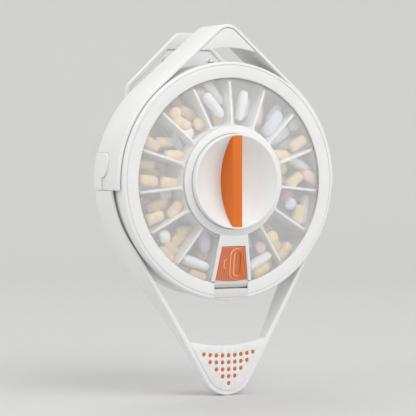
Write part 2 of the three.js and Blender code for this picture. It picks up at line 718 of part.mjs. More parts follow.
const FINISH = {
  white: new THREE.MeshStandardMaterial({ color: 0xe9e9e8, roughness: 0.42 }),
  tray: new THREE.MeshStandardMaterial({ color: 0xd9d7d6, roughness: 0.6 }),
  frosted: new THREE.MeshStandardMaterial({ color: 0xdcdcdd, roughness: 0.5 }),
  orange: new THREE.MeshStandardMaterial({ color: 0xdf6f2a, roughness: 0.48 }),
  steel: new THREE.MeshStandardMaterial({ color: 0x8e8f92, roughness: 0.35, metalness: 1 }),
  rubber: new THREE.MeshStandardMaterial({ color: 0x9a9a9a, roughness: 0.8 }),
};

const organizer = new THREE.Group();

function place(name, solid, finish) {
  const mesh = new THREE.Mesh(toGeometry(solid), FINISH[finish]);
  mesh.name = name;
  organizer.add(mesh);
}

place('rear_shell', rearShell(), 'white');
place('upper_loop', upperLoop(), 'white');
place('top_web', topWeb(), 'white');
place('lower_loop', lowerLoop(), 'white');
place('tip_plate', tipPlate(), 'white');
place('tip_grip', tipGrip(), 'orange');
place('spindle', spindle(), 'steel');
place('thrust_washer', thrustWasher(), 'rubber');
place('detent_leaf', detentLeaf(), 'steel');
place('detent_screw', detentScrew(), 'steel');
place('seal_ring', sealRing(), 'rubber');

place('cover_bezel', coverBezel(), 'white');
place('cover_window', coverWindow(), 'frosted');
place('knob_collar', knobCollar(), 'white');
place('door_frame', doorFrame(), 'white');
place('chute_window', chuteWindow(), 'frosted');
place('door_pin', doorPin(), 'steel');
place('door_flap', doorFlap(), 'orange');

place('carousel_tray', carouselTray(), 'tray');
place('index_wheel', indexWheel(), 'white');

place('knob_body', knobBody(), 'white');
place('knob_grip', knobGrip(), 'orange');
place('knob_retainer', knobRetainer(), 'steel');
place('grip_screw_top', gripScrew(GRIP_SCREWS[1]), 'steel');
place('grip_screw_bottom', gripScrew(GRIP_SCREWS[0]), 'steel');

place('side_button_left', sideButton(-1), 'white');
place('side_button_right', sideButton(1), 'white');

place('clip_frame', clipFrame(), 'white');
place('clip_panel', clipPanel(), 'frosted');
clipScrewPlaces().forEach((spot, i) => place(`clip_screw_${i + 1}`, clipScrew(spot), 'steel'));
place('clip_block_left', clipBlock(-1), 'white');
place('clip_block_right', clipBlock(1), 'white');
[-1, 1].flatMap((side) => BLOCK_SCREW_Z.map((z) => [side, z])).forEach(([side, z], i) =>
  place(`block_screw_${i + 1}`, blockScrew(side, z), 'steel'));
place('clip_pin', clipPin(), 'steel');
place('clip_spring', clipSpring(), 'steel');

organizer.position.y = -REAR_Y;

export default organizer;
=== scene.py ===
"""Looks of the travel pill organizer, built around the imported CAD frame.

Lengths are millimetres about the case's datum plane, as in the part's source: X right, Y back,
Z up, the tray's axis along Y. solid() turns them into metres in the frame's own place.
"""
import math

import bmesh
import bpy
from mathutils import Matrix, Vector


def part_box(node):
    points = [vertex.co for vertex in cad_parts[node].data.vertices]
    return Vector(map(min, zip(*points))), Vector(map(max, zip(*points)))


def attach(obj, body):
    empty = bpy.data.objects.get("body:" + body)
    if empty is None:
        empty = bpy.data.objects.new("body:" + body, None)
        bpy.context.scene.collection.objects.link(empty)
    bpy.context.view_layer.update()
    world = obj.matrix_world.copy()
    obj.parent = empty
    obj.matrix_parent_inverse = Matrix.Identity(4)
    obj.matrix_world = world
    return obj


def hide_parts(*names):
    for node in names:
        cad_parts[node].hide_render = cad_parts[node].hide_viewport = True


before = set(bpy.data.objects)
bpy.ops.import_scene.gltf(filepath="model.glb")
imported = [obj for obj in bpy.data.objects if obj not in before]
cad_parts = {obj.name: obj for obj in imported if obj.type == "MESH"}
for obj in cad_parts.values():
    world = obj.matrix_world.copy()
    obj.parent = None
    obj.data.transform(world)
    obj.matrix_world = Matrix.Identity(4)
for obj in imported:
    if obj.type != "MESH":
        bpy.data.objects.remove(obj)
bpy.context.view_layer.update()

MM = 0.001
REAR_Y = 2.0                  # back face of the case, behind the datum plane

CASE_R = 83.0                 # both loops, where they hug the case
LOOP_WALL = 2.3
LOOP_FRONT_Y = -30.4
LOOP_BACK_Y = 1.7
LOOP_DRAFT = 0.02
LOOP_END_Z = -5.8
APEX_R = 12.0
APEX_Z = 93.6
TIP_R = 20.0
TIP_Z = -125.0
LEG_WALL = 4.2
PLATE_ARC_R = 111.3
PLATE_RIM = 2.2
PLATE_ARC_END = 0.262         # half the arc's angle, in radians
PLATE_LAP = 0.75              # how far the plate runs into the legs' rounded edges
PLATE_FRONT_Y = -33.0
PLATE_BACK_Y = -26.0
BACKING_FRONT_Y = -25.6
BACKING_BACK_Y = -24.2
DOT_PITCH = 4.72
DOT_R = 1.45
DOT_TOP_R = 117.9
DOT_ROWS = 5
CROWN_R = 1200.0              # the foot plate's shallow dome
CROWN_Y = -30.7
CROWN_Z = -129.0
WEB_FRONT_Y = -29.6
WEB_BACK_Y = -26.6
WEB_ARC_R = 90.0
WEB_LOW_Z = 84.0

SHELL_R = 79.4
SHELL_Y = -25.0
SHELL_WALL = 2.2
SHELL_FLOOR = 2.8
BEZEL_R = 79.8
BEZEL_IN_R = 69.4
BEZEL_Y = -34.0
BEZEL_SEAT_Y = -33.1          # where the window bears on the bezel
BEZEL_SKIRT_R = 75.6
BEZEL_SKIRT_Y = -21.0
WINDOW_EDGE_Y = -32.8
WINDOW_HUB_Y = -37.2
WINDOW_BORE_R = 34.4
WINDOW_R = 75.2
WINDOW_T = 1.0
COLLAR_IN_R = 32.1
COLLAR_SEAT_R = 34.1
COLLAR_R = 37.3
COLLAR_ROOM_R = 36.6          # how near the door's frame comes to the axis
SECTORS = 15
TRAY_R = 73.2
TRAY_WALL = 1.8
TRAY_FLOOR_Y = -10.0
TRAY_RIM_Y = -29.6
TRAY_STEP_R = 67.4            # where the dividers step back to the rim
TRAY_BACK_Y = -8.2
HUB_R = 38.0
BOSS_R = 8.0                  # the tray's boss on the spindle
BOSS_Y = -21.6
BOSS_BORE_R = 3.4
DIVIDER_DROP = 1.45           # from the window's front down to the dividers
POCKET_FILLET = 2.6
TONGUE_HALF_X = 6.0           # the tray's tongue, which fits the knob's slot
TONGUE_HALF_Z = 2.0
TONGUE_ROOM = 0.5
HUB_IN_R = 35.8
DIVIDER_T = 1.6

KNOB_R = 31.9
KNOB_Y = -42.9
BOWL_R = 31.0
BOWL_DEPTH = 12.6
GRIP_W = 7.6
GRIP_DRAFT = math.tan(math.radians(12))
GRIP_REACH = 30.6
GRIP_EASE = 0.8               # rounding along the grip's front edges

DOOR_TOP_Z = -43.8
DOOR_LOW_Z = -67.2
DOOR_TOP_HALF = 8.7
DOOR_LOW_HALF = 12.5
DOOR_T = 1.7
DOOR_TILT = math.radians(7.4)
DOOR_FRONT_Y = -34.1
DOOR_PIN_Y = -31.4
DOOR_PIN_Z = -70.3
DOOR_PIN_ROOM_R = 1.05
DOOR_LEAF_HALF = 12.75        # half width of the leaf that joins the door to its pin
DOORWAY_TOP_HALF = 10.5       # the opening that the window leaves for the door's frame
DOORWAY_LOW_HALF = 14.9
RAIL_TOP = (10.4, -34.5)      # outer corners of the door's frame
RAIL_LOW = (15.3, -67.3)
EAR_XS = (-14.3, 12.9)        # left side of each ear that holds the door's pin
EAR_T = 1.4
PULL = (3.2, 9.4, -45.2, -66.0)       # middle, width, top and low end of the pull ring
PULL_WALL = 2.0
PULL_RISE = 1.2
TAB = (-4.9, 2.6, -52.6, -58.4)       # the same of the tab beside it
RIBS = 13
CHUTE_TOP_Z = -72.65
CHUTE_LOW_Z = -78.3

BUTTON_R = 85.2
BUTTON_TOP_Z = 19.4
BUTTON_LOW_Z = -5.4
BUTTON_FRONT_Y = -9.4
BUTTON_BACK_Y = 6.0
BUTTON_IN_R = 81.3
LOBE_Z = 11.0                 # the round part of the button's D shape
LOBE_HALF = 8.2
LOBE_REACH = 7.2
STEM_Y = -6.0
STEM_Z = 8.0
STEM_R = 2.0
STEM_END_X = 75.4

CLIP_HALF = 48.5
CLIP_TOP_Z = 102.4
CLIP_SHOULDER_Z = 65.0
CLIP_LOW_Z = -22.0
CLIP_FRONT_Y = 26.5
CLIP_BACK_Y = 30.5
CLIP_RIM = 3.0
CLIP_WEB_Z = 90.5
CLIP_AXIS_Y = 14.0
CLIP_AXIS_Z = -8.0
CLIP_PIN_R = 2.0
CLIP_PIN_ROOM_R = 2.3
CLIP_ARMS = (-19, 15)         # left side of each arm
CLIP_ARM_W = 4
CLIP_OPENING = (6, 76)        # lower and upper edge
EAR_IN_X = 19.4
EAR_OUT_X = 24.0
FLANGE_X = 36.0
FLANGE_T = 3.0
BLOCK_SCREW_X = 30.5
BLOCK_SCREW_ZS = (-14, -2)
CLIP_SCREWS = [(-18, 81.5), (18, 81.5), (-36, 0), (36, 0)]

ROUND = 192                   # steps round a large circle
FINE = 48                     # steps round a small one
GAP = 0.3
WELD = 2e-6                   # corners closer than this, in metres, are one

# ---------------- materials


def link(tree, source, target):
    tree.links.new(source, target)


def material(name, color, roughness, **values):
    """A Principled material; values are the shader's other inputs by name."""
    mat = bpy.data.materials.new(name)
    mat.use_nodes = True
    shader = mat.node_tree.nodes["Principled BSDF"]
    shader.inputs["Base Color"].default_value = (*color, 1)
    shader.inputs["Roughness"].default_value = roughness
    for key, value in values.items():
        shader.inputs[key.replace("_", " ")].default_value = value
    return mat, mat.node_tree, shader


def coordinates(tree):
    return tree.nodes.new("ShaderNodeTexCoord").outputs["Object"]


def noise_of(tree, scale, detail=3.0, stretch=(1, 1, 1)):
    mapping = tree.nodes.new("ShaderNodeMapping")
    mapping.inputs["Scale"].default_value = stretch
    texture = tree.nodes.new("ShaderNodeTexNoise")
    texture.inputs["Scale"].default_value = scale
    texture.inputs["Detail"].default_value = detail
    link(tree, coordinates(tree), mapping.inputs["Vector"])
    link(tree, mapping.outputs["Vector"], texture.inputs["Vector"])
    return texture.outputs["Fac"]


def spread(tree, source, low, high):
    """Maps the middle of a noise to low..high."""
    ranged = tree.nodes.new("ShaderNodeMapRange")
    ranged.inputs["From Min"].default_value = 0.3
    ranged.inputs["From Max"].default_value = 0.7
    ranged.inputs["To Min"].default_value = low
    ranged.inputs["To Max"].default_value = high
    link(tree, source, ranged.inputs["Value"])
    return ranged.outputs["Result"]


def tint(tree, shader, source, dark, light):
    ramp = tree.nodes.new("ShaderNodeValToRGB")
    ramp.color_ramp.elements[0].color = (*dark, 1)
    ramp.color_ramp.elements[1].color = (*light, 1)
    ramp.color_ramp.elements[0].position = 0.3
    ramp.color_ramp.elements[1].position = 0.7
    link(tree, source, ramp.inputs["Fac"])
    link(tree, ramp.outputs["Color"], shader.inputs["Base Color"])


def bump(tree, shader, source, strength, distance):
    node = tree.nodes.new("ShaderNodeBump")
    node.inputs["Strength"].default_value = strength
    node.inputs["Distance"].default_value = distance
    link(tree, source, node.inputs["Height"])
    link(tree, node.outputs["Normal"], shader.inputs["Normal"])


def moulded(name, color, roughness, grain=2600, depth=0.00002, vary=0.03, **values):
    """Injection-moulded plastic: spark-eroded grain, faint flow shading, uneven gloss."""
    mat, tree, shader = material(name, color, roughness, **values)
    dark = tuple(c * (1 - vary) for c in color)
    light = tuple(min(c * (1 + vary), 1) for c in color)
    tint(tree, shader, noise_of(tree, 28), dark, light)
    gloss = spread(tree, noise_of(tree, 160), roughness - 0.05, roughness + 0.06)
    link(tree, gloss, shader.inputs["Roughness"])
    bump(tree, shader, noise_of(tree, grain, 2), 0.35, depth)
    return mat


def frosted(name, color, roughness, passed, clarity):
    """Frosted translucent plastic: clarity is the share of light that isn't scattered back.

    Lamps reach what lies behind it through its tint."""
    mat, tree, shader = material(name, color, roughness, Transmission_Weight=clarity, IOR=1.12)
    gloss = spread(tree, noise_of(tree, 220), roughness - 0.02, roughness + 0.03)
    link(tree, gloss, shader.inputs["Roughness"])
    clear = tree.nodes.new("ShaderNodeBsdfTransparent")
    clear.inputs["Color"].default_value = (*passed, 1)
    mixed = tree.nodes.new("ShaderNodeMixShader")
    path = tree.nodes.new("ShaderNodeLightPath")
    link(tree, path.outputs["Is Shadow Ray"], mixed.inputs["Fac"])
    link(tree, shader.outputs["BSDF"], mixed.inputs[1])
    link(tree, clear.outputs["BSDF"], mixed.inputs[2])
    link(tree, mixed.outputs["Shader"], tree.nodes["Material Output"].inputs["Surface"])
    return mat


def turned_steel(name, color, roughness):
    mat, tree, shader = material(name, color, roughness, Metallic=1.0)
    streaks = noise_of(tree, 900, 4, (1, 0.1, 1))
    gloss = spread(tree, streaks, roughness - 0.08, roughness + 0.12)
    link(tree, gloss, shader.inputs["Roughness"])
    bump(tree, shader, streaks, 0.3, 0.00001)
    return mat


def coated(name, color, speck, roughness=0.38):
    """A tablet's film coat: faint speckle and the small pits of pressed powder."""
    mat, tree, shader = material(name, color, roughness, Subsurface_Weight=0.15)
    shader.inputs["Subsurface Radius"].default_value = (0.001, 0.0008, 0.0006)
    tint(tree, shader, noise_of(tree, 700, 4), speck, color)
    bump(tree, shader, noise_of(tree, 1500, 3), 0.4, 0.00004)
    return mat


WHITE = moulded("white_satin", (0.83, 0.83, 0.825), 0.42)
TRAY = moulded("tray_white", (0.79, 0.785, 0.78), 0.5, grain=3000)
KNOB = moulded("knob_satin", (0.845, 0.875, 0.87), 0.36, grain=3200, depth=0.000012)
ORANGE = moulded("orange_satin", (0.76, 0.17, 0.02), 0.44, vary=0.05,
                 Specular_IOR_Level=0.3)
GATE_ORANGE = moulded("orange_gate", (0.72, 0.225, 0.11), 0.5, Specular_IOR_Level=0.4)
# pale orange that paints a highlight round the door's pull ring and tab
PAINTED_HIGHLIGHT_ORANGE = moulded("orange_painted_highlight", (0.86, 0.56, 0.44), 0.4, Specular_IOR_Level=0.5)
LEAF = moulded("leaf_grey", (0.68, 0.675, 0.67), 0.5)
RUBBER = moulded("seal_grey", (0.35, 0.35, 0.35), 0.75, grain=1200, depth=0.00004)
FROST = frosted("frosted_cover", (0.97, 0.97, 0.972), 0.145, (1, 1, 1), 0.78)
CHUTE = frosted("chute_smoke", (0.76, 0.755, 0.75), 0.35, (0.8, 0.8, 0.8), 0.1)
PANEL = frosted("clip_frost", (0.94, 0.942, 0.945), 0.35, (1, 1, 1), 0.12)
STEEL = turned_steel("steel", (0.54, 0.54, 0.55), 0.34)
PILL_COATS = {
    "cream": coated("pill_cream", (0.80, 0.62, 0.38), (0.74, 0.55, 0.32)),
    "white": coated("pill_white", (0.84, 0.84, 0.83), (0.80, 0.80, 0.79), 0.3),
    "pink": coated("pill_pink", (0.82, 0.58, 0.52), (0.76, 0.52, 0.46)),
    "grey": coated("pill_grey", (0.62, 0.67, 0.74), (0.57, 0.62, 0.70)),
    "lilac": coated("pill_lilac", (0.56, 0.51, 0.62), (0.51, 0.46, 0.58)),
    "yellow": coated("pill_yellow", (0.84, 0.72, 0.36), (0.79, 0.66, 0.30)),
}

# What a piece is made of, the body it rides on and its material slot.
HOUSING = (WHITE, "housing", "white_plastic")
COVER = (WHITE, "cover", "white_plastic")
CLIP = (WHITE, "clip", "white_plastic")
CLIP_LENS = (PANEL, "clip", "frosted_plastic")
PULL_STUFF = (ORANGE, "door", "orange_plastic")
GATE = (GATE_ORANGE, "door", "orange_plastic")
# painted highlight: the pale orange rims round the pull ring and tab
PULL_PAINTED_HIGHLIGHT = (PAINTED_HIGHLIGHT_ORANGE, "door", "orange_plastic")
CAROUSEL = (TRAY, "carousel", "tray_plastic")
DISH = (KNOB, "knob", "white_plastic")
FOOT_GRIP = (ORANGE, "housing", "orange_plastic")
HINGE_STEEL = (STEEL, "housing", "steel")
WINDOW_STUFF = (FROST, "cover", "frosted_plastic")
CHUTE_PANE = (CHUTE, "cover", "frosted_plastic")
DOOR_LEAF = (LEAF, "door", "white_plastic")

# ---------------- mesh helpers


def solid(name, points, faces, mat, body, slot, crease=35):
    """A piece from points in millimetres; edges sharper than crease degrees stay crisp."""
    mesh = bpy.data.meshes.new(name)
    mesh.from_pydata([(x * MM, (y - REAR_Y) * MM, z * MM) for x, y, z in points], [], faces)
    mesh.materials.append(mat)
    edit = bmesh.new()
    edit.from_mesh(mesh)
    bmesh.ops.remove_doubles(edit, verts=edit.verts, dist=1e-7)
    bmesh.ops.recalc_face_normals(edit, faces=edit.faces)
    edit.to_mesh(mesh)
    edit.free()
    piece = bpy.data.objects.new(name, mesh)
    bpy.context.scene.collection.objects.link(piece)
    smooth(piece, crease)
    piece["body"] = body
    piece["slot"] = slot
    return piece


def smooth(piece, crease=35):
    mesh = piece.data
    mesh.polygons.foreach_set("use_smooth", [True] * len(mesh.polygons))
    mesh.set_sharp_from_angle(angle=math.radians(crease))
    mesh.update()


def bake(piece, crease=35):
    """Applies a piece's modifiers to its mesh."""
    graph = bpy.context.evaluated_depsgraph_get()
    mesh = bpy.data.meshes.new_from_object(piece.evaluated_get(graph))
    piece.modifiers.clear()
    piece.data = mesh
    smooth(piece, crease)


def combine(piece, cutters, operation="DIFFERENCE"):
    for cutter in cutters:
        step = piece.modifiers.new("cut", "BOOLEAN")
        step.operation = operation
        step.solver = "EXACT"
        step.object = cutter
        bake(piece)
    for cutter in cutters:
        bpy.data.objects.remove(cutter)


def tidy_faces(piece):
    """Closes up the slivers that a cut leaves, and splits its many-cornered faces."""
    edit = bmesh.new()
    edit.from_mesh(piece.data)
    bmesh.ops.remove_doubles(edit, verts=edit.verts, dist=WELD)
    bmesh.ops.dissolve_degenerate(edit, edges=edit.edges, dist=WELD)
    many = [face for face in edit.faces if len(face.verts) > 4]
    bmesh.ops.triangulate(edit, faces=many)
    edit.to_mesh(piece.data)
    edit.free()
    smooth(piece, 50)


def soften(piece, width, segments=2, angle=40):
    """Rounds a piece's sharp edges."""
    step = piece.modifiers.new("edges", "BEVEL")
    step.width = width * MM
    step.segments = segments
    step.limit_method = "ANGLE"
    step.angle_limit = math.radians(angle)
    step.use_clamp_overlap = True
    bake(piece, 50)


def done(piece, *nodes):
    """Hands a finished piece to the frame, in place of its CAD nodes."""
    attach(piece, piece["body"])
    for node in nodes:
        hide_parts(node)


def filleted(corners, steps=5, closed=True):
    """Rounds the corners (u, v, radius) of an outline; a radius of 0 stays sharp."""
    out = []
    count = len(corners)
    for i, corner in enumerate(corners):
        u, v = corner[:2]
        radius = corner[2] if len(corner) > 2 else 0
        ends = not closed and i in (0, count - 1)
        if radius <= 0 or ends:
            out.append((u, v))
            continue
        here = Vector((u, v))
        before = (Vector(corners[i - 1][:2]) - here).normalized()
        after = (Vector(corners[(i + 1) % count][:2]) - here).normalized()
        half = math.acos(max(-1, min(1, before.dot(after)))) / 2
        if half > math.radians(89):
            out.append((u, v))
            continue
        centre = here + (before + after).normalized() * radius / math.sin(half)
        start = here + before * radius / math.tan(half) - centre
        end = here + after * radius / math.tan(half) - centre
        turn = start.angle_signed(end)
        for k in range(steps + 1):
            a = -turn * k / steps
            out.append((centre.x + start.x * math.cos(a) - start.y * math.sin(a),
                        centre.y + start.x * math.sin(a) + start.y * math.cos(a)))
    return out


def arc_points(radius, start, end, steps):
    """Points (u, v) on a circle from one angle to another, counted from +v towards +u."""
    angles = [start + (end - start) * i / steps for i in range(steps + 1)]
    return [(radius * math.sin(a), radius * math.cos(a)) for a in angles]


def turns(count):
    """Angles spaced evenly round a circle."""
    return [2 * math.pi * i / count for i in range(count)]


def mirrored(half):
    """The right half of an outline, followed by its mirror image."""
    return [*half, *[(-u, *rest) for u, *rest in reversed(half)]]


def lathe(name, profile, mat, body, slot, steps=ROUND, crease=35, closed=True):
    """Turns a profile of (radius, y) about the axis; an open profile starts and ends on it."""
    points, faces = [], []
    count = len(profile)
    for a in turns(steps):
        points += [(r * math.sin(a), y, r * math.cos(a)) for r, y in profile]
    spans = count if closed else count - 1
    for i in range(steps):
        for k in range(spans):
            low, high = i * count, (i + 1) % steps * count
            faces.append((low + k, low + (k + 1) % count, high + (k + 1) % count, high + k))
    return solid(name, points, faces, mat, body, slot, crease)


def prism(name, outline, low, high, place, mat, body, slot):
    """A flat outline extruded from low to high; place(u, v, depth) gives each point."""
    count = len(outline)
    points = [place(u, v, depth) for depth in (low, high) for u, v in outline]
    faces = [tuple(range(count)), tuple(range(2 * count - 1, count - 1, -1))]
    faces += [(i, (i + 1) % count, count + (i + 1) % count, count + i) for i in range(count)]
    return solid(name, points, faces, mat, body, slot)


def plate(name, outline, y_front, y_back, mat, body, slot):
    """An (x, z) outline, extruded along Y."""
    return prism(name, outline, y_front, y_back, lambda x, z, y: (x, y, z), mat, body, slot)


def side_plate(name, outline, x_low, x_high, mat, body, slot):
    """A (y, z) outline, extruded along X."""
    return prism(name, outline, x_low, x_high, lambda y, z, x: (x, y, z), mat, body, slot)


def block(name, xs, ys, zs, mat, body, slot):
    outline = [(xs[0], zs[0]), (xs[1], zs[0]), (xs[1], zs[1]), (xs[0], zs[1])]
    return plate(name, outline, ys[0], ys[1], mat, body, slot)


def skin(name, rings, mat, body, slot, crease=50):
    """A closed piece through rings of points, with a flat face at each end."""
    count = len(rings[0])
    points = [point for ring in rings for point in ring]
    faces = []
    for low in range(0, len(points) - count, count):
        high = low + count
        for k in range(count):
            j = (k + 1) % count
            faces.append((low + k, low + j, high + j, high + k))
    faces += [tuple(range(count)), tuple(range(len(points) - count, len(points)))]
    return solid(name, points, faces, mat, body, slot, crease)


def rod(name, radius, start, end, mat, body, slot, steps=FINE, ease=0.0):
    """A round bar between two points, its ends eased by a small chamfer."""
    start, end = Vector(start), Vector(end)
    along = (end - start).normalized()
    across = along.orthogonal().normalized()
    other = along.cross(across)
    length = (end - start).length
    stations = [(0, radius), (length, radius)]
    if ease > 0:
        stations = [(0, radius - ease), (ease, radius), (length - ease, radius),
                    (length, radius - ease)]
    rings = [[start + along * at + (across * math.cos(a) + other * math.sin(a)) * r
              for a in turns(steps)] for at, r in stations]
    return skin(name, rings, mat, body, slot)


def join(name, pieces):
    """Several closed pieces as one object."""
    first = pieces[0]
    edit = bmesh.new()
    mats = list(first.data.materials)
    for piece in pieces:
        mats += [mat for mat in piece.data.materials if mat not in mats]
        own = [mats.index(mat) for mat in piece.data.materials]
        faces_before = len(edit.faces)
        edit.from_mesh(piece.data)
        edit.faces.ensure_lookup_table()
        for face in edit.faces[faces_before:]:
            face.material_index = own[face.material_index]
    mesh = bpy.data.meshes.new(name)
    edit.to_mesh(mesh)
    edit.free()
    for item in mats:
        mesh.materials.append(item)
    joined = bpy.data.objects.new(name, mesh)
    bpy.context.scene.collection.objects.link(joined)
    joined["body"], joined["slot"] = first["body"], first["slot"]
    for piece in pieces:
        bpy.data.objects.remove(piece)
    smooth(joined, 40)
    return joined


def blend_at(value, stations):
    """Straight lines through (position, value) stations in falling order of position."""
    if value >= stations[0][0]:
        return stations[0][1]
    for (a, va), (b, vb) in zip(stations, stations[1:]):
        if value >= b:
            return va + (vb - va) * (a - value) / (a - b)
    return stations[-1][1]


def eased_at(value, stations, reach=5.0):
    """blend_at, averaged over a short reach so that the line has no kinks."""
    taps = [blend_at(value + reach * k / 3, stations) for k in range(-3, 4)]
    return sum(taps) / len(taps)


# ---------------- case and loops


def teardrop(big_r, tip_r, tip_z, big_steps=120, tip_steps=32):
    """Half an outline as (x, z, nx, nz, share): from the side of the large circle to the tip."""
    up = math.copysign(1, tip_z)
    reach = math.acos((big_r - tip_r) / abs(tip_z))
    points = []
    for i in range(big_steps + 1):
        a = math.pi / 2 + (reach - math.pi / 2) * i / big_steps
        points.append((big_r * math.sin(a), up * big_r * math.cos(a), math.sin(a),
                       up * math.cos(a), 0.0))
    leg = 24
    start = Vector(points[-1][:2])
    end = Vector((tip_r * math.sin(reach), tip_z + up * tip_r * math.cos(reach)))
    for i in range(1, leg):
        spot = start.lerp(end, i / leg)
        points.append((spot.x, spot.y, math.sin(reach), up * math.cos(reach), i / leg))
    for i in range(tip_steps + 1):
        a = reach * (1 - i / tip_steps)
        points.append((tip_r * math.sin(a), tip_z + up * tip_r * math.cos(a), math.sin(a),
                       up * math.cos(a), 1.0))
    return points


def whole(half):
    """A teardrop's half outline with its mirror image, as one path."""
    return half + [(-x, z, -nx, nz, share) for x, z, nx, nz, share in reversed(half[:-1])]


def below_side(big_r, tip_r, tip_z, end_z):
    """A half outline that starts at height end_z on the large circle."""
    up = math.copysign(1, tip_z)
    half = teardrop(big_r, tip_r, tip_z)
    kept = [p for p in half if up * (p[1] - end_z) > 0]
    nx = math.sqrt(1 - (end_z / big_r) ** 2)
    extra = [(big_r * nx, end_z, nx, end_z / big_r, 0.0)]
    return extra + kept


def drafted(x, y):
    """The loops widen a little towards the back."""
    return x * (1 + LOOP_DRAFT * (y - LOOP_FRONT_Y) / (REAR_Y - LOOP_FRONT_Y))


def band(name, path, section_at):
    """Sweeps a closed section of (offset, y) along a path; section_at gives it for each point."""
    rings = [[(drafted(x + nx * off, y), y, z + nz * off) for off, y in section_at(z, share)]
             for x, z, nx, nz, share in path]
    return skin(name, rings, *HOUSING)


def button_outline(clearance, steps=24):
    """The D shape of a side button as (y, z)."""
    front = BUTTON_FRONT_Y - clearance
    low, top = BUTTON_LOW_Z - clearance, BUTTON_TOP_Z + clearance
    points = [(BUTTON_BACK_Y, low), (BUTTON_BACK_Y, top)]
    for i in range(steps + 1):
        a = math.pi * i / steps
        points.append((front - LOBE_REACH * math.sin(a) ** 0.8,
                       LOBE_Z + (LOBE_HALF + clearance) * math.cos(a)))
    points.append((front, low))
    return points


def upper_loop():
    def section(z, share):
        return filleted([(0, LOOP_FRONT_Y, 1.1), (0, LOOP_BACK_Y, 1.1),
                         (-LOOP_WALL, LOOP_BACK_Y, 0.5), (-LOOP_WALL, LOOP_FRONT_Y, 0.6)], 4)
    path = whole(below_side(CASE_R, APEX_R, APEX_Z, LOOP_END_Z + GAP))
    piece = band("upper_band", path, section)
    combine(piece, [side_plate("notch", button_outline(GAP), side * CASE_R - 7,
                               side * CASE_R + 7, *HOUSING) for side in (-1, 1)])
    soften(piece, 0.25, 2, 60)
    done(piece, "upper_loop")


def top_web():
    """The plate under the apex; its lower edge follows the case."""
    inset = LOOP_WALL + 0.3
    half = teardrop(CASE_R - inset, APEX_R - inset, APEX_Z)
    outline = [(x, z) for x, z, *_ in whole(half)]
    piece = plate("web_plate", outline, WEB_FRONT_Y, WEB_BACK_Y, *HOUSING)
    case_room = lathe("arc", [(0, -35), (WEB_ARC_R, -35), (WEB_ARC_R, -20), (0, -20)], *HOUSING,
                      256, closed=False)
    base = block("base", (-100, 100), (-36, -19), (-100, WEB_LOW_Z), *HOUSING)
    combine(piece, [case_room, base])
    soften(piece, 0.5, 3, 50)
    done(piece, "top_web")


LEG_FRONT = [(-5.8, -20), (-29, -22.5), (-47, -26), (-60, -27.5), (-112, -30), (-150, -30)]
LEG_BACK = [(-5.8, 1.7), (-47, 1.7), (-55, -1), (-64, -6.6), (-72, -8.8), (-83, -12), (-99, -18),
            (-114, -22.2), (-150, -22.6)]


def leg_front(z):
    return eased_at(z, LEG_FRONT)


def leg_back(z):
    return min(eased_at(z, LEG_BACK), LOOP_BACK_Y)


def lower_loop():
    def section(z, share):
        wall = LOOP_WALL + (LEG_WALL - LOOP_WALL) * share
        front, back = leg_front(z), leg_back(z)
        return filleted([(0, front, 0.9), (0, back, 0.9), (-wall, back, 0.6),
                         (-wall, front, 0.9)], 4)
    path = whole(below_side(CASE_R, TIP_R, TIP_Z, LOOP_END_Z))
    leg = band("lower_band", path, section)
    done(leg, "lower_loop")
    rim()


def rim():
    """The arc across the foot, which closes the lower loop above the foot plate."""
    outer = PLATE_ARC_R + PLATE_RIM
    steps = 64
    rings = []
    for i in range(steps + 1):
        a = PLATE_ARC_END * (2 * i / steps - 1)
        front, back = leg_front(-outer * math.cos(a)), leg_back(-outer * math.cos(a))
        section = filleted([(PLATE_ARC_R, front, 0.6), (outer, front, 0.5), (outer, back, 0.4),
                            (PLATE_ARC_R, back, 0.4)], 4)
        rings.append([(drafted(r * math.sin(a), y), y, -r * math.cos(a)) for r, y in section])
    done(skin("foot_arc", rings, *HOUSING))


def foot_outline(inset, arc):
    """The space inside the foot below an arc about the case's axis, as an (x, z) outline."""
    wall_big, wall_tip = CASE_R - LOOP_WALL - inset, TIP_R - LEG_WALL - inset
    half = [(x, z) for x, z, *_ in teardrop(wall_big, wall_tip, TIP_Z) if math.hypot(x, z) > arc]
    corner = math.asin(half[0][0] / arc)
    top = [(x, -z) for x, z in arc_points(arc, -corner, corner, 40)[1:-1]]
    left = [(-x, z) for x, z in reversed(half[:-1])]
    return [*half, *left, *top]


def crown_y(x, z):
    """Front of the crowned foot plate."""
    return CROWN_Y + CROWN_R - math.sqrt(CROWN_R ** 2 - x ** 2 - (z - CROWN_Z) ** 2)


def dot_places():
    """The dots' (x, z): arcs about the case's axis, each row two shorter than the one above."""
    for row in range(DOT_ROWS):
        arc = DOT_TOP_R + row * DOT_PITCH
        count = 2 * (DOT_ROWS - row) - 1
        for i in range(count):
            x = (i - (count - 1) / 2) * DOT_PITCH
            yield x, -math.sqrt(arc * arc - x * x)


def foot():
    """The dotted plate, and the orange piece behind it whose studs fill the holes."""
    piece = plate("foot_plate", foot_outline(-PLATE_LAP, PLATE_ARC_R + 0.5), PLATE_FRONT_Y,
                  PLATE_BACK_Y, *HOUSING)
    profile = [(r, -y) for r, y in arc_points(CROWN_R, 0, math.pi, 160)[1:-1]]
    ball = lathe("crown", [(0, -CROWN_R), *profile, (0, CROWN_R)], *HOUSING, 256, closed=False)
    ball.location = (0, (CROWN_Y + CROWN_R) * MM, CROWN_Z * MM)
    combine(piece, [ball], "INTERSECT")
    holes = [rod("hole", DOT_R, (x, -36, z), (x, -20, z), *HOUSING, 32) for x, z in dot_places()]
    combine(piece, [join("holes", holes)])
    soften(piece, 0.18, 2, 50)
    done(piece, "tip_plate")
    backing = plate("backing", foot_outline(GAP + 0.4, PLATE_ARC_R + PLATE_RIM + 0.7),
                    BACKING_FRONT_Y, BACKING_BACK_Y, *FOOT_GRIP)
    studs = [stud(x, z) for x, z in dot_places()]
    done(join("foot_grip", [backing, *studs]), "tip_grip")


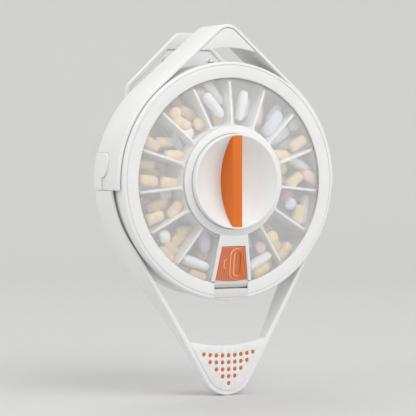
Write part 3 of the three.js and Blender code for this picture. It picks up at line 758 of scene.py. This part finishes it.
def stud(x, z):
    """A small domed stud that fills one hole, a little below the plate's face."""
    face = crown_y(x, z) + 0.25
    radius = DOT_R - 0.12
    profile = [(radius, BACKING_FRONT_Y - 0.1), (radius, face + 0.35), (radius * 0.86, face + 0.12),
               (radius * 0.6, face)]
    rings = [[(x + r * math.cos(a), y, z + r * math.sin(a)) for a in turns(24)]
             for r, y in profile]
    return skin("stud", rings, *FOOT_GRIP, 60)


def rear_shell():
    floor = REAR_Y - SHELL_FLOOR
    inner = SHELL_R - SHELL_WALL
    profile = filleted([
        (0, REAR_Y), (40, REAR_Y), (41, REAR_Y - 0.5, 0.4), (44, REAR_Y - 0.5, 0.4), (45, REAR_Y),
        (SHELL_R, REAR_Y, 2.2), (SHELL_R, SHELL_Y, 0.3), (inner, SHELL_Y, 0.3), (inner, floor, 2),
        (7.5, floor, 0.5), (7.5, -5.6, 0.3), (3.3, -5.6, 0.3), (3.3, 0.4), (0, 0.4)], 5, False)
    piece = lathe("case_shell", profile, *HOUSING, closed=False)
    combine(piece, [rod("slot", STEM_R + 0.4, (side * 90, STEM_Y, STEM_Z),
                        (side * 76, STEM_Y, STEM_Z), *HOUSING) for side in (-1, 1)])
    done(piece, "rear_shell")


def side_buttons():
    for side, word in ((-1, "left"), (1, "right")):
        own = (WHITE, "button_" + word, "white_plastic")
        shell = lathe("pad_" + word, [(BUTTON_R, -26), (BUTTON_R, 4), (BUTTON_IN_R, 4),
                                      (BUTTON_IN_R, -26)], *own, 384)
        shape = side_plate("pad_shape", button_outline(0), side * CASE_R - 8, side * CASE_R + 8,
                           *own)
        back = block("pad_back", (-90, 90), (-30, LOOP_BACK_Y), (-20, 30), *own)
        combine(shell, [shape, back], "INTERSECT")
        soften(shell, 0.55, 4, 50)
        stem = rod("stem", STEM_R, (side * 82, STEM_Y, STEM_Z),
                   (side * STEM_END_X, STEM_Y, STEM_Z), *own)
        hook_x = sorted((side * (STEM_END_X + 1), side * (STEM_END_X - 0.4)))
        hook = block("hook", hook_x, (-17.6, -5), (STEM_Z - 1.8, STEM_Z + 1.8), *own)
        done(join("press_pad_" + word, [shell, stem, hook]), "side_button_" + word)


# ---------------- cover


def window_front(radius):
    """The window's front face rises from its rim to its hub."""
    t = max((radius - WINDOW_BORE_R) / (BEZEL_IN_R - WINDOW_BORE_R), 0)
    return WINDOW_HUB_Y + (WINDOW_EDGE_Y - WINDOW_HUB_Y) * t ** 1.5


def cover_bezel():
    """The ring, with a step round its front edge and a gap below the door."""
    outer, back = BEZEL_R + 0.5, SHELL_Y - GAP
    profile = filleted([
        (outer, back, 0.4), (outer, -33.4, 1.3), (78.5, -33.9, 0.4), (78.1, -33.2, 0.3),
        (77.6, -33.2, 0.3), (77.3, BEZEL_Y, 0.5), (BEZEL_IN_R, BEZEL_Y, 0.7),
        (BEZEL_IN_R, BEZEL_SEAT_Y, 0.1), (BEZEL_SKIRT_R, BEZEL_SEAT_Y),
        (BEZEL_SKIRT_R, BEZEL_SKIRT_Y), (76.8, BEZEL_SKIRT_Y), (76.8, back)], 5)
    piece = lathe("cover_ring", profile, *COVER, 256)
    half = DOOR_LOW_HALF + 0.4
    combine(piece, [block("gate", (-half, half), (-40, -31), (CHUTE_LOW_Z - GAP, -60), *COVER)])
    soften(piece, 0.25, 2, 70)
    done(piece, "cover_bezel")


def cover_window():
    """The frosted window with its doorway, and the collar in its bore."""
    steps = 24
    radii = [WINDOW_BORE_R + (BEZEL_IN_R - WINDOW_BORE_R) * i / steps for i in range(steps + 1)]
    front = [(r, window_front(r)) for r in radii]
    back = [(r, y + WINDOW_T) for r, y in reversed(front)]
    profile = [*front, (WINDOW_R, WINDOW_EDGE_Y), (WINDOW_R, WINDOW_EDGE_Y + WINDOW_T), *back]
    piece = lathe("cover_lens", profile, *WINDOW_STUFF)
    doorway = mirrored([(DOORWAY_TOP_HALF, -36), (DOORWAY_LOW_HALF, -66.5),
                        (DOORWAY_LOW_HALF, -80)])
    combine(piece, [plate("doorway", doorway, -45, -25, *WINDOW_STUFF)])
    done(piece, "cover_window")
    collar = filleted([
        (COLLAR_IN_R, -33.2, 0.2), (COLLAR_SEAT_R, -33.2, 0.2), (COLLAR_SEAT_R, -37.25, 0.2),
        (COLLAR_R, -37.2, 0.02), (COLLAR_R, -37.32, 0.05), (33.4, -38.5, 2),
        (COLLAR_IN_R, -38.5, 0.5)], 5)
    done(lathe("bore_collar", collar, *COVER), "knob_collar")


def leaned(piece):
    """Leans a plate back so that it follows the slope of the window."""
    hinge = Vector((0, (DOOR_FRONT_Y - REAR_Y) * MM, DOOR_LOW_Z * MM))
    turn = Matrix.Translation(hinge) @ Matrix.Rotation(DOOR_TILT, 4, "X") \
        @ Matrix.Translation(-hinge)
    piece.data.transform(turn)
    return piece


def door_outline(margin, radius=0.0):
    """The door's trapezium with a bowed lower edge; margin widens it."""
    slope = (DOOR_LOW_HALF - DOOR_TOP_HALF) / (DOOR_TOP_Z - DOOR_LOW_Z)
    low, top = DOOR_LOW_Z + 0.9 - margin, DOOR_TOP_Z + margin

    def half_at(z):
        return DOOR_TOP_HALF + slope * (DOOR_TOP_Z - z) + margin
    points = [(half_at(top), top, radius), (-half_at(top), top, radius)]
    steps = 16
    for i in range(steps + 1):
        x = half_at(low) * (2 * i / steps - 1)
        corner = radius if i in (0, steps) else 0
        points.append((x, low - 1.2 * (1 - (x / half_at(low)) ** 2), corner))
    return filleted(points, 4)


def door_frame():
    """White rails round the door, with an ear for the pin at each side."""
    outline = mirrored([RAIL_TOP, RAIL_LOW])
    rails = plate("gate_frame", outline, DOOR_FRONT_Y - 0.5, DOOR_FRONT_Y + DOOR_T, *COVER)
    opening = [*door_outline(GAP)[:2], (-13.1, -70), (13.1, -70)]
    combine(rails, [plate("opening", opening, -38, -30, *COVER)])
    leaned(rails)
    collar_room = [(0, -42), (COLLAR_ROOM_R, -42), (COLLAR_ROOM_R, -30), (0, -30)]
    combine(rails, [lathe("collar_room", collar_room, *COVER, closed=False)])
    soften(rails, 0.3, 3, 40)
    ears = []
    for x in EAR_XS:
        for y_back, z_top in ((-32.1, -65.6), (-30.2, -69.1)):
            ears.append(block("ear", (x, x + EAR_T), (-32.7, y_back), (-71.6, z_top), *COVER))
    done(join("gate_rails", [rails, *ears]), "door_frame")


def chute_window():
    """The smoky strip across the bezel below the door, with a low lip behind its top."""
    half = DOOR_LOW_HALF + 0.35
    back = BEZEL_Y + 1
    lip_front, lip_back = back + 0.05, back + 0.6
    lip_top, lip_low = CHUTE_TOP_Z + 0.2, CHUTE_TOP_Z - 0.6
    outline = [(BEZEL_Y, CHUTE_LOW_Z), (BEZEL_Y, CHUTE_TOP_Z), (lip_front, CHUTE_TOP_Z),
               (lip_front, lip_top), (lip_back, lip_top), (lip_back, lip_low), (back, lip_low),
               (back, CHUTE_LOW_Z)]
    pane = side_plate("chute_pane", outline, -half, half, *CHUTE_PANE)
    soften(pane, 0.1, 2)
    done(pane, "chute_window")


def stadium(x, width, top, low, steps=16):
    """An upright slot outline with round ends."""
    radius = width / 2
    points = []
    for z, start in ((top - radius, 0), (low + radius, math.pi)):
        for i in range(steps + 1):
            a = start + math.pi * i / steps
            points.append((x + radius * math.cos(a), z + radius * math.sin(a)))
    return points


def raised(name, shape, grow, shift, front, stuff):
    """A pad on the door in a slot's shape, grown all round and shifted sideways."""
    x, width, top, low = shape
    outline = stadium(x + shift, width + 2 * grow, top + grow, low - grow)
    return plate(name, outline, front, DOOR_FRONT_Y + 0.2, *stuff)


def ringed(name, shape, grow, front, stuff):
    """A raised ring round the pull's finger hole, grown outwards and inwards."""
    piece = raised(name, shape, grow, -grow, front, stuff)
    x, width, top, low = shape
    wall = PULL_WALL + grow
    hole = stadium(x + grow, width - 2 * wall, top - wall, low + wall)
    combine(piece, [plate("hole", hole, -40, -30, *stuff)])
    return piece


def door_flap():
    """The ribbed orange door with its pull ring and tab; pale orange rims round both are painted
    highlight.
    """
    face = plate("gate_face", door_outline(0, 0.8), DOOR_FRONT_Y, DOOR_FRONT_Y + DOOR_T, *GATE)
    soften(face, 0.25, 3)
    pieces = [face]
    top_z, low_z = DOOR_TOP_Z - 1, DOOR_LOW_Z + 1.3
    for i in range(RIBS):
        share = 2 * i / (RIBS - 1) - 1
        top_x, low_x = share * (DOOR_TOP_HALF - 1), share * (DOOR_LOW_HALF - 1.2)
        outline = [(top_x - 0.2, top_z), (top_x + 0.2, top_z), (low_x + 0.28, low_z),
                   (low_x - 0.28, low_z)]
        pieces.append(plate("rib", outline, DOOR_FRONT_Y - 0.35, DOOR_FRONT_Y + 0.1, *GATE))
    ring_y = DOOR_FRONT_Y - PULL_RISE
    pull = ringed("pull", PULL, 0, ring_y, PULL_STUFF)
    soften(pull, 0.5, 4)
    tab = raised("tab", TAB, 0, 0, ring_y + 0.3, PULL_STUFF)
    soften(tab, 0.4, 3)
    # the pale orange rims round the pull ring and tab are painted highlight
    pieces += [pull, tab, ringed("pull_painted_highlight", PULL, 0.35, ring_y + 0.55, PULL_PAINTED_HIGHLIGHT),
               raised("tab_painted_highlight", TAB, 0.3, -0.3, ring_y + 0.7, PULL_PAINTED_HIGHLIGHT)]
    for piece in pieces:
        leaned(piece)
    done(join("gate", pieces), "door_flap")


def door_leaf():
    """The leaf that joins the door to its pin."""
    outline = filleted([
        (-33.9, -66.6), (-32.3, -66.6), (-32.3, -68.5), (-30.3, -69.1, 0.4), (-29.8, -70.3, 0.6),
        (-30.3, -71.4, 0.6), (-31.4, -71.95, 0.6), (-32.6, -71.4, 0.6), (-33.05, -70.6, 0.4),
        (-33.9, -69.3, 0.6)], 4)
    leaf = side_plate("gate_leaf", outline, -DOOR_LEAF_HALF, DOOR_LEAF_HALF, *DOOR_LEAF)
    combine(leaf, [rod("pin_room", DOOR_PIN_ROOM_R, (-20, DOOR_PIN_Y, DOOR_PIN_Z),
                       (20, DOOR_PIN_Y, DOOR_PIN_Z), *DOOR_LEAF)])
    done(leaf)


# ---------------- tray and knob


def pocket_loop(radius_in, radius_out, half_angle, wall, fillet, arc_steps=16, side_steps=10):
    """One compartment's outline, centred on +Z; wall is half a divider's thickness."""
    def wall_x(z):
        return z * math.tan(half_angle) - wall / math.cos(half_angle)

    def corner(radius):
        z = radius
        for _ in range(20):
            z = math.sqrt(radius ** 2 - wall_x(z) ** 2)
        return wall_x(z), z
    inner, outer = corner(radius_in), corner(radius_out)
    near_end, far_end = math.atan2(*inner), math.atan2(*outer)
    centre_arc = arc_points(radius_in, -near_end, near_end, arc_steps)[1:-1]
    far_arc = arc_points(radius_out, far_end, -far_end, arc_steps)[1:-1]
    right = [(inner[0] + (outer[0] - inner[0]) * i / side_steps,
              inner[1] + (outer[1] - inner[1]) * i / side_steps) for i in range(1, side_steps)]
    left = [(-x, z) for x, z in reversed(right)]
    outline = [(-inner[0], inner[1], fillet), *centre_arc, (*inner, fillet), *right,
               (*outer, fillet), *far_arc, (-outer[0], outer[1], fillet), *left]
    return filleted(clear_of_corners(outline, fillet), 6)


def clear_of_corners(outline, fillet):
    """Drops the points that lie where a corner's rounding will go."""
    corners = [Vector(p[:2]) for p in outline if len(p) == 3]
    return [p for p in outline
            if len(p) == 3 or all((Vector(p) - c).length > 1.25 * fillet for c in corners)]


def tray():
    """The turning tray: a round body with a rounded pocket for each compartment."""
    def front(r):
        return window_front(r) + DIVIDER_DROP
    step = 2 * math.pi / SECTORS
    slope = [(r, front(r)) for r in (TRAY_STEP_R - i * (TRAY_STEP_R - HUB_R) / 24
                                     for i in range(25))]
    profile = filleted([
        (HUB_IN_R, front(HUB_R), 0.3), (HUB_IN_R, TRAY_FLOOR_Y, 0), (BOSS_R, TRAY_FLOOR_Y, 0.4),
        (BOSS_R, BOSS_Y, 0.3), (BOSS_BORE_R, BOSS_Y), (BOSS_BORE_R, TRAY_BACK_Y),
        (TRAY_R, TRAY_BACK_Y, 1), (TRAY_R, TRAY_RIM_Y, 0.3), (TRAY_STEP_R, TRAY_RIM_Y), *slope], 4)
    body = lathe("tray_body", profile, *CAROUSEL, 240)
    loop = pocket_loop(HUB_R, TRAY_R - TRAY_WALL, step / 2, DIVIDER_T / 2, POCKET_FILLET)
    pocket = plate("pocket", loop, -60, TRAY_FLOOR_Y, *CAROUSEL)
    soften(pocket, 1.2, 3, 60)
    pockets = []
    for i in range(SECTORS):
        copy = bpy.data.objects.new("pocket", pocket.data.copy())
        bpy.context.scene.collection.objects.link(copy)
        copy.data.transform(Matrix.Rotation(step * i + math.pi, 4, "Y"))
        copy["body"], copy["slot"] = pocket["body"], pocket["slot"]
        pockets.append(copy)
    bpy.data.objects.remove(pocket)
    combine(body, [join("pockets", pockets)])
    soften(body, 0.3, 2, 50)
    tongue = block("tongue", (-TONGUE_HALF_X, TONGUE_HALF_X), (-25.8, -21.2),
                   (-TONGUE_HALF_Z, TONGUE_HALF_Z), *CAROUSEL)
    combine(tongue, [rod("tongue_hole", BOSS_BORE_R, (0, -27, 0), (0, -20, 0), *CAROUSEL)])
    done(join("tray", [body, tongue]), "carousel_tray")


# Kind: length, width, thickness, bluntness of the ends.
PILLS = {"capsule": (21, 7.2, 7.2, 6), "caplet": (14.5, 7.6, 6, 6), "oval": (17, 8.2, 6.2, 3),
         "slab": (20.5, 9.8, 6.2, 3.4), "round": (8.8, 8.8, 4.6, 2)}
OUTWARD = {"near": 44, "mid": 52, "far": 60, "edge": 67}
ASIDE = {"low": 5.5, "centre": 0, "high": -5}
LAYER = {"front": -28.6, "under": -26.1, "half": -22, "deep": -15}   # under: clear of the hinge
LIE = {"along": 0, "slant": 35, "across": 85, "back": -30}

# What lies in each compartment, clockwise from the one left of the top: kind, coat, how far out,
# at which side, how deep and how it lies. The compartment behind the door is empty.
CONTENTS = [
    ["capsule white mid centre front back", "caplet cream near high half along",
     "capsule white far high half back", "round pink far low half along",
     "caplet cream near low deep along"],
    ["capsule white mid centre front along", "caplet grey mid low half along",
     "caplet grey near high half along"],
    ["slab grey mid low front along", "oval pink mid high half back",
     "caplet white far low half along"],
    ["caplet cream near low front slant", "caplet cream far low front along",
     "slab grey mid high half along", "round white edge high half along",
     "oval white far low deep along"],
    ["caplet cream mid low front back", "oval pink edge low under slant",
     "capsule white far high half slant", "round cream near low half along",
     "caplet cream near high half slant", "round pink far low deep along"],
    ["round grey mid centre front along", "caplet cream far low front across",
     "capsule white edge centre half across", "round pink mid high half along",
     "oval cream far high deep along"],
    ["round yellow mid low front along", "caplet cream edge low under across",
     "caplet cream far low half along", "oval cream mid centre deep along"],
    ["capsule white far centre front across", "caplet yellow edge centre under across",
     "round pink mid high front along", "caplet grey near centre half along",
     "caplet cream edge high half across"],
    [],
    ["oval lilac near centre front back", "capsule white far centre front across",
     "caplet cream edge low under across", "round pink mid low half along",
     "caplet cream edge high half across"],
    ["round white far high front along", "caplet cream edge low under across",
     "oval cream mid low half along", "caplet cream near low half slant",
     "caplet cream far low half across"],
    ["caplet cream far low front along", "caplet cream near low front back",
     "round white near high half along", "oval cream mid centre half along",
     "caplet cream far high deep slant"],
    ["caplet cream far low front along", "caplet cream near low front along",
     "caplet cream far high half along", "oval cream mid centre deep along"],
    ["caplet cream mid centre half back", "caplet cream near low front back",
     "caplet grey near high half slant", "caplet cream far low half along",
     "oval cream edge centre deep along"],
    ["round cream far low front back", "caplet cream mid low front back",
     "round cream near high front along", "round white near low front along",
     "oval cream mid high half back", "caplet cream far high deep along"],
]


def pill_rings(kind, steps=22, sides=20):
    """Rings of points along a pill's length: a capsule has a wider cap, a caplet a score line."""
    length, width, thick, blunt = PILLS[kind]
    seam = -0.08 if kind == "capsule" else 0
    places = sorted([-math.cos(math.pi * i / steps) for i in range(steps + 1)]
                    + [seam - 0.045, seam - 0.01, seam + 0.01, seam + 0.045])
    all_rings = []
    for u in places:
        size = math.sqrt(max(1 - abs(u) ** blunt, 0.0004))
        if kind == "capsule" and u < seam:
            size *= 0.94
        if kind in ("caplet", "oval") and abs(u) < 0.02:
            size *= 0.93
        ring = []
        for a in turns(sides):
            across = math.copysign(abs(math.cos(a)) ** 0.8, math.cos(a))
            through = math.copysign(abs(math.sin(a)) ** 0.8, math.sin(a))
            if kind == "capsule":
                across, through = math.cos(a), math.sin(a)
            ring.append(Vector((u * length / 2, across * size * width / 2,
                                through * size * thick / 2)))
        all_rings.append(ring)
    return all_rings


def pill(words, angle):
    """One pill in the compartment at this angle, clockwise from the top."""
    kind, coat, outward, side, layer, lie = words.split()
    out = Vector((math.sin(angle), 0, math.cos(angle)))
    clockwise = Vector((math.cos(angle), 0, -math.sin(angle)))
    downhill = 1 if math.sin(angle) > 0 else -1
    middle = out * OUTWARD[outward] + clockwise * downhill * ASIDE[side]
    middle.y = LAYER[layer]
    turn = math.radians(LIE[lie])
    along = out * math.cos(turn) + clockwise * math.sin(turn)
    across = clockwise * math.cos(turn) - out * math.sin(turn)
    rings = [[middle + along * p.x + across * p.y + Vector((0, p.z, 0)) for p in ring]
             for ring in pill_rings(kind)]
    return coat, skin("pill", rings, PILL_COATS[coat], "carousel", "tray_plastic")


def pills():
    """The compartments' contents, one piece for each coat."""
    sorted_pills = {coat: [] for coat in PILL_COATS}
    for i, contents in enumerate(CONTENTS):
        for words in contents:
            coat, piece = pill(words, 2 * math.pi * (i - 0.5) / SECTORS)
            sorted_pills[coat].append(piece)
    for coat, pieces in sorted_pills.items():
        done(join("pills_" + coat, pieces))


def bowl_y(radius):
    """The dish's front face: part of a sphere."""
    sphere = (BOWL_R ** 2 + BOWL_DEPTH ** 2) / (2 * BOWL_DEPTH)
    return KNOB_Y + BOWL_DEPTH - sphere + math.sqrt(max(sphere ** 2 - radius ** 2, 0))


def knob():
    """The dished knob; its back has a step for the collar and a slot for the tray's tongue."""
    face = [(BOWL_R * i / 40, bowl_y(BOWL_R * i / 40)) for i in range(40)]
    post_r, post_y, skin_r = 9.4, -22, 26.5
    back_radii = [skin_r + (post_r - skin_r) * i / 8 for i in range(9)]
    behind = [(r, bowl_y(r) + 2.2) for r in back_radii]
    rim_part = filleted([
        (BOWL_R - 0.2, KNOB_Y + 0.1), (BOWL_R + 0.35, KNOB_Y, 0.2),
        (KNOB_R, KNOB_Y + 0.1, 0.35), (KNOB_R, -32.9, 0.2), (31.1, -32.9), (31.1, -31.2),
        (KNOB_R, -31.2), (KNOB_R, -30.2), (29.4, -30.2), (29.4, -36.4)], 5, False)
    profile = [*face, *rim_part, *behind, (post_r, post_y), (0, post_y)]
    piece = lathe("knob_dish", profile, *DISH, closed=False)
    half_x, half_z = TONGUE_HALF_X + TONGUE_ROOM, TONGUE_HALF_Z + TONGUE_ROOM
    combine(piece, [block("knob_slot", (-half_x, half_x), (-26.4, -20), (-half_z, half_z), *DISH)])
    done(piece, "knob_body")


def grip():
    """A bar across the dish: flat front strip, drafted sides that meet the dish in an arc."""
    stations, levels, corner_steps = 96, 14, 4
    half = GRIP_W / 2
    rings = []
    for i in range(stations + 1):
        z = GRIP_REACH * math.sin(math.pi / 2 * (2 * i / stations - 1))
        y = bowl_y(abs(z))
        for _ in range(12):
            foot = half + (y - KNOB_Y) * GRIP_DRAFT
            y = bowl_y(math.hypot(foot, z))
        side = []
        for k in range(corner_steps + 1):
            a = math.pi / 2 * k / corner_steps
            drop = min(GRIP_EASE, y - KNOB_Y) * (1 - math.cos(a))
            side.append((half - GRIP_EASE + GRIP_EASE * math.sin(a), KNOB_Y + drop))
        start, end = side[-1][1], y + 0.15
        for k in range(1, levels):
            depth = start + (end - start) * k / (levels - 1)
            side.append((half + (depth - KNOB_Y) * GRIP_DRAFT, depth))
        section = [(0, KNOB_Y), *side, (0, end), *[(-u, v) for u, v in reversed(side)]]
        rings.append([(u, v, z) for u, v in section])
    done(skin("grip_blade", rings, ORANGE, "knob", "orange_plastic", 30), "knob_grip")


# ---------------- strap clip


def house(inset):
    """The clip's outline: a square with a pointed, flat-topped roof."""
    half = CLIP_HALF - inset
    shoulder = CLIP_SHOULDER_Z - 0.4 * inset
    top, low = CLIP_TOP_Z - inset, CLIP_LOW_Z + inset
    flat = 8.5 - 0.4 * inset
    side_r = max(9 - inset, 1)
    return filleted(mirrored([(half, low, side_r), (half, shoulder, 9), (flat, top, 5)]), 10)


def slab(name, zs, stuff):
    """A block across the clip between two heights."""
    return block(name, (-60, 60), (20, 40), zs, *stuff)


def clip_pin_room(stuff):
    return rod("pin_room", CLIP_PIN_ROOM_R, (-40, CLIP_AXIS_Y, CLIP_AXIS_Z),
               (40, CLIP_AXIS_Y, CLIP_AXIS_Z), *stuff)


def clip():
    """The clip's frame with its opening and two arms."""
    body = plate("clip_plate", house(0), CLIP_FRONT_Y, CLIP_BACK_Y, *CLIP)
    pocket = plate("clip_pocket", house(CLIP_RIM), CLIP_FRONT_Y - 1, CLIP_BACK_Y - 1.5, *CLIP)
    combine(pocket, [slab("below_web", (-40, CLIP_WEB_Z), CLIP)], "INTERSECT")
    window = plate("clip_window", house(CLIP_RIM), CLIP_FRONT_Y - 2, CLIP_BACK_Y + 2, *CLIP)
    combine(window, [slab("window_band", CLIP_OPENING, CLIP)], "INTERSECT")
    combine(body, [pocket, window])
    soften(body, 0.6, 3, 50)
    tidy_faces(body)
    seat = CLIP_BACK_Y - 1.2
    arm = filleted([(seat, -19), (seat, 3, 1.5), (15, -4, 3), (11, -5.4, 2.5), (10, -9, 2),
                    (12.5, -12, 2)], 5)
    arms = join("arms", [side_plate("arm", arm, x, x + CLIP_ARM_W, *CLIP) for x in CLIP_ARMS])
    combine(arms, [clip_pin_room(CLIP)])
    soften(arms, 0.3, 2, 60)
    done(join("clip_body", [body, arms]), "clip_frame")


def clip_panel():
    """The frosted panel in the clip's pocket, and the four screws that hold it."""
    panel = plate("clip_lens", house(CLIP_RIM + 0.05), CLIP_FRONT_Y + 0.9, CLIP_BACK_Y - 1.8,
                  *CLIP_LENS)
    rooms = [slab("top", (CLIP_WEB_Z - GAP, 120), CLIP_LENS)]
    rooms += [block("room", (x - 0.4, x + CLIP_ARM_W + 0.4), (20, 40), (-19.4, 3.4), *CLIP_LENS)
              for x in CLIP_ARMS]
    rooms += [rod("screw_room", 1.5, (x, 20, z), (x, 35, z), *CLIP_LENS) for x, z in CLIP_SCREWS]
    combine(panel, rooms)
    done(panel, "clip_panel")
    for i, (x, z) in enumerate(CLIP_SCREWS):
        screw("clip_screw_head_%d" % (i + 1), "clip_screw_%d" % (i + 1), "clip", x, z,
              CLIP_FRONT_Y - 1, CLIP_FRONT_Y + 0.6, CLIP_BACK_Y - 0.2, 3.0)


def screw(name, node, body, x, z, face, under, tip, radius):
    """A pan-head screw with a cross recess; its head looks towards face."""
    own = (STEEL, body, "steel")
    out = 1 if under > face else -1
    shank = 1.15
    profile = [(0, face), (radius * 0.62, face + out * 0.05), (radius * 0.9, face + out * 0.4),
               (radius, under), (shank, under), (shank, tip), (0, tip)]
    head = lathe(name, profile, *own, 40, 40, closed=False)
    head.data.transform(Matrix.Translation((x * MM, 0, z * MM)))
    depth = sorted((face - out, face + out * 0.75))
    combine(head, [block("cross", (x - a, x + a), depth, (z - b, z + b), *own)
                   for a, b in ((1.5, 0.35), (0.35, 1.5))])
    done(head, node)


def clip_hinge():
    """Two ears with flanges on the case, their screws, the pin and its spring."""
    seat = REAR_Y + GAP
    for side, word in ((-1, "left"), (1, "right")):
        outline = filleted([
            (seat, 4), (seat, -20), (13, -13, 4), (18, -11, 3), (18, -5, 3), (13, -3, 4)], 6)
        inner, outer = sorted((side * EAR_IN_X, side * EAR_OUT_X))
        ear = side_plate("ear_" + word, outline, inner, outer, *HOUSING)
        flange_x = sorted((side * EAR_IN_X, side * FLANGE_X))
        flange = block("flange", flange_x, (seat, seat + FLANGE_T), (-20, 4), *HOUSING)
        combine(ear, [flange], "UNION")
        combine(ear, [clip_pin_room(HOUSING)])
        soften(ear, 0.5, 3, 50)
        done(ear, "clip_block_" + word)
    places = [(side * BLOCK_SCREW_X, z) for side in (-1, 1) for z in BLOCK_SCREW_ZS]
    for i, (x, z) in enumerate(places):
        screw("block_screw_head_%d" % (i + 1), "block_screw_%d" % (i + 1), "housing", x, z,
              7.4, 5.6, seat, 2.8)
    axis = (CLIP_AXIS_Y, CLIP_AXIS_Z)
    shaft = rod("hinge_shaft", CLIP_PIN_R, (-24.6, *axis), (24.6, *axis), *HINGE_STEEL)
    heads = [rod("shaft_head", 3, (x, *axis), (x + 2.2, *axis), *HINGE_STEEL, ease=0.4)
             for x in (-26.6, 24.4)]
    done(join("hinge_pin", [shaft, *heads]), "clip_pin")
    coil()


def coil():
    """The clip's torsion spring: close turns round the pin."""
    windings, wire, radius, half_length = 17, 0.65, 3.55, 11.2
    per_turn = 28
    total = windings * per_turn
    rings = []
    for i in range(total + 1):
        a = 2 * math.pi * i / per_turn
        x = half_length * (2 * i / total - 1)
        ring = []
        for b in turns(10):
            r = radius + wire * math.cos(b)
            ring.append((x + wire * math.sin(b), CLIP_AXIS_Y + r * math.cos(a),
                         CLIP_AXIS_Z + r * math.sin(a)))
        rings.append(ring)
    done(skin("return_spring", rings, *HINGE_STEEL, 60), "clip_spring")


def inner_works():
    """Pieces kept as the frame holds them, with better surfaces."""
    kept = {"spindle": STEEL, "detent_leaf": STEEL, "detent_screw": STEEL, "door_pin": STEEL,
            "knob_retainer": STEEL, "grip_screw_top": STEEL, "grip_screw_bottom": STEEL,
            "thrust_washer": RUBBER, "seal_ring": RUBBER, "index_wheel": TRAY}
    for node, mat in kept.items():
        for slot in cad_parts[node].material_slots:
            slot.material = mat


# ---------------- stage, light and camera

# The camera and the lamps are placed in metres and degrees, as seen from the case.
VIEW_TURN = math.radians(-28.405)
VIEW_TILT = math.radians(2.007)
VIEW_DISTANCE = 1.3305
VIEW_CENTRE = Vector((0, -0.004, -0.02))
SENSOR_WIDTH = 36
FOCAL_LENGTH = 167.43
SHIFT_X = -0.00144
SHIFT_Y = 0.00337
WORLD_STRENGTH = 0.66
# Azimuth and elevation in degrees, distance and size in metres, power in watts, tint.
LAMPS = {
    "key": (12, 48, 2.6, 1.8, 24, (1, 0.995, 0.985)),
    "left": (-88, 30, 2.4, 1.6, 15, (1, 1, 1)),
    "fill": (48, 10, 3.0, 2.6, 18, (1, 0.99, 0.975)),
    "rear": (175, 62, 2.6, 1.6, 14, (1, 1, 1)),
}

# The paper sweep: its colour, and its sizes in millimetres.
PAPER = (0.61, 0.61, 0.605)
PAPER_BEND = 1300
PAPER_REACH = 2400
PAPER_FRONT = 4500
PAPER_HEIGHT = 6000
PAPER_HALF_WIDTH = 9000


def stage():
    """A pale floor that sweeps up into the backdrop."""
    floor_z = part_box("lower_loop")[0][2] / MM - 0.05
    mat, tree, shader = material("paper", PAPER, 0.9)
    bump(tree, shader, noise_of(tree, 60, 2), 0.05, 0.0005)
    profile = [(-PAPER_FRONT, floor_z), (PAPER_REACH - PAPER_BEND, floor_z)]
    steps = 24
    for i in range(1, steps + 1):
        a = math.pi / 2 * i / steps
        profile.append((PAPER_REACH - PAPER_BEND * (1 - math.sin(a)),
                        floor_z + PAPER_BEND * (1 - math.cos(a))))
    profile.append((PAPER_REACH, PAPER_HEIGHT))
    points, faces = [], []
    for y, z in profile:
        points += [(-PAPER_HALF_WIDTH, y, z), (PAPER_HALF_WIDTH, y, z)]
    for i in range(len(profile) - 1):
        faces.append((2 * i, 2 * i + 1, 2 * i + 3, 2 * i + 2))
    sweep = solid("sweep", points, faces, mat, "housing", "white_plastic", 180)
    del sweep["body"], sweep["slot"]
    sweep.rotation_euler = (0, 0, VIEW_TURN)


def direction(turn, tilt):
    """From the case towards a place, by its turn from straight ahead and its tilt, in radians."""
    return Vector((math.sin(turn) * math.cos(tilt), -math.cos(turn) * math.cos(tilt),
                   math.sin(tilt)))


def aimed(name, data, away, distance):
    """A camera or a lamp that looks at the case."""
    item = bpy.data.objects.new(name, data)
    bpy.context.scene.collection.objects.link(item)
    item.location = VIEW_CENTRE + away * distance
    item.rotation_euler = (-away).to_track_quat("-Z", "Y").to_euler()
    return item


def camera():
    data = bpy.data.cameras.new("camera")
    data.sensor_width = SENSOR_WIDTH
    data.lens = FOCAL_LENGTH
    data.shift_x = SHIFT_X
    data.shift_y = SHIFT_Y
    data.clip_end = 50
    bpy.context.scene.camera = aimed("camera", data, direction(VIEW_TURN, VIEW_TILT),
                                     VIEW_DISTANCE)


def area_light(name, azimuth, elevation, distance, size, power, color):
    """A square lamp aimed at the case."""
    data = bpy.data.lights.new(name, "AREA")
    data.shape = "SQUARE"
    data.size = size
    data.energy = power
    data.color = color
    aimed(name, data, direction(math.radians(azimuth), math.radians(elevation)), distance)


def lights():
    for name, values in LAMPS.items():
        area_light(name, *values)
    world = bpy.data.worlds.new("studio")
    world.use_nodes = True
    background = world.node_tree.nodes["Background"]
    background.inputs["Color"].default_value = (1, 1, 1, 1)
    background.inputs["Strength"].default_value = WORLD_STRENGTH
    bpy.context.scene.world = world
    bpy.context.scene.view_settings.view_transform = "Standard"


camera()
stage()
lights()
rear_shell()
upper_loop()
top_web()
lower_loop()
foot()
side_buttons()
cover_bezel()
cover_window()
door_frame()
chute_window()
door_flap()
door_leaf()
tray()
pills()
knob()
grip()
clip()
clip_panel()
clip_hinge()
inner_works()
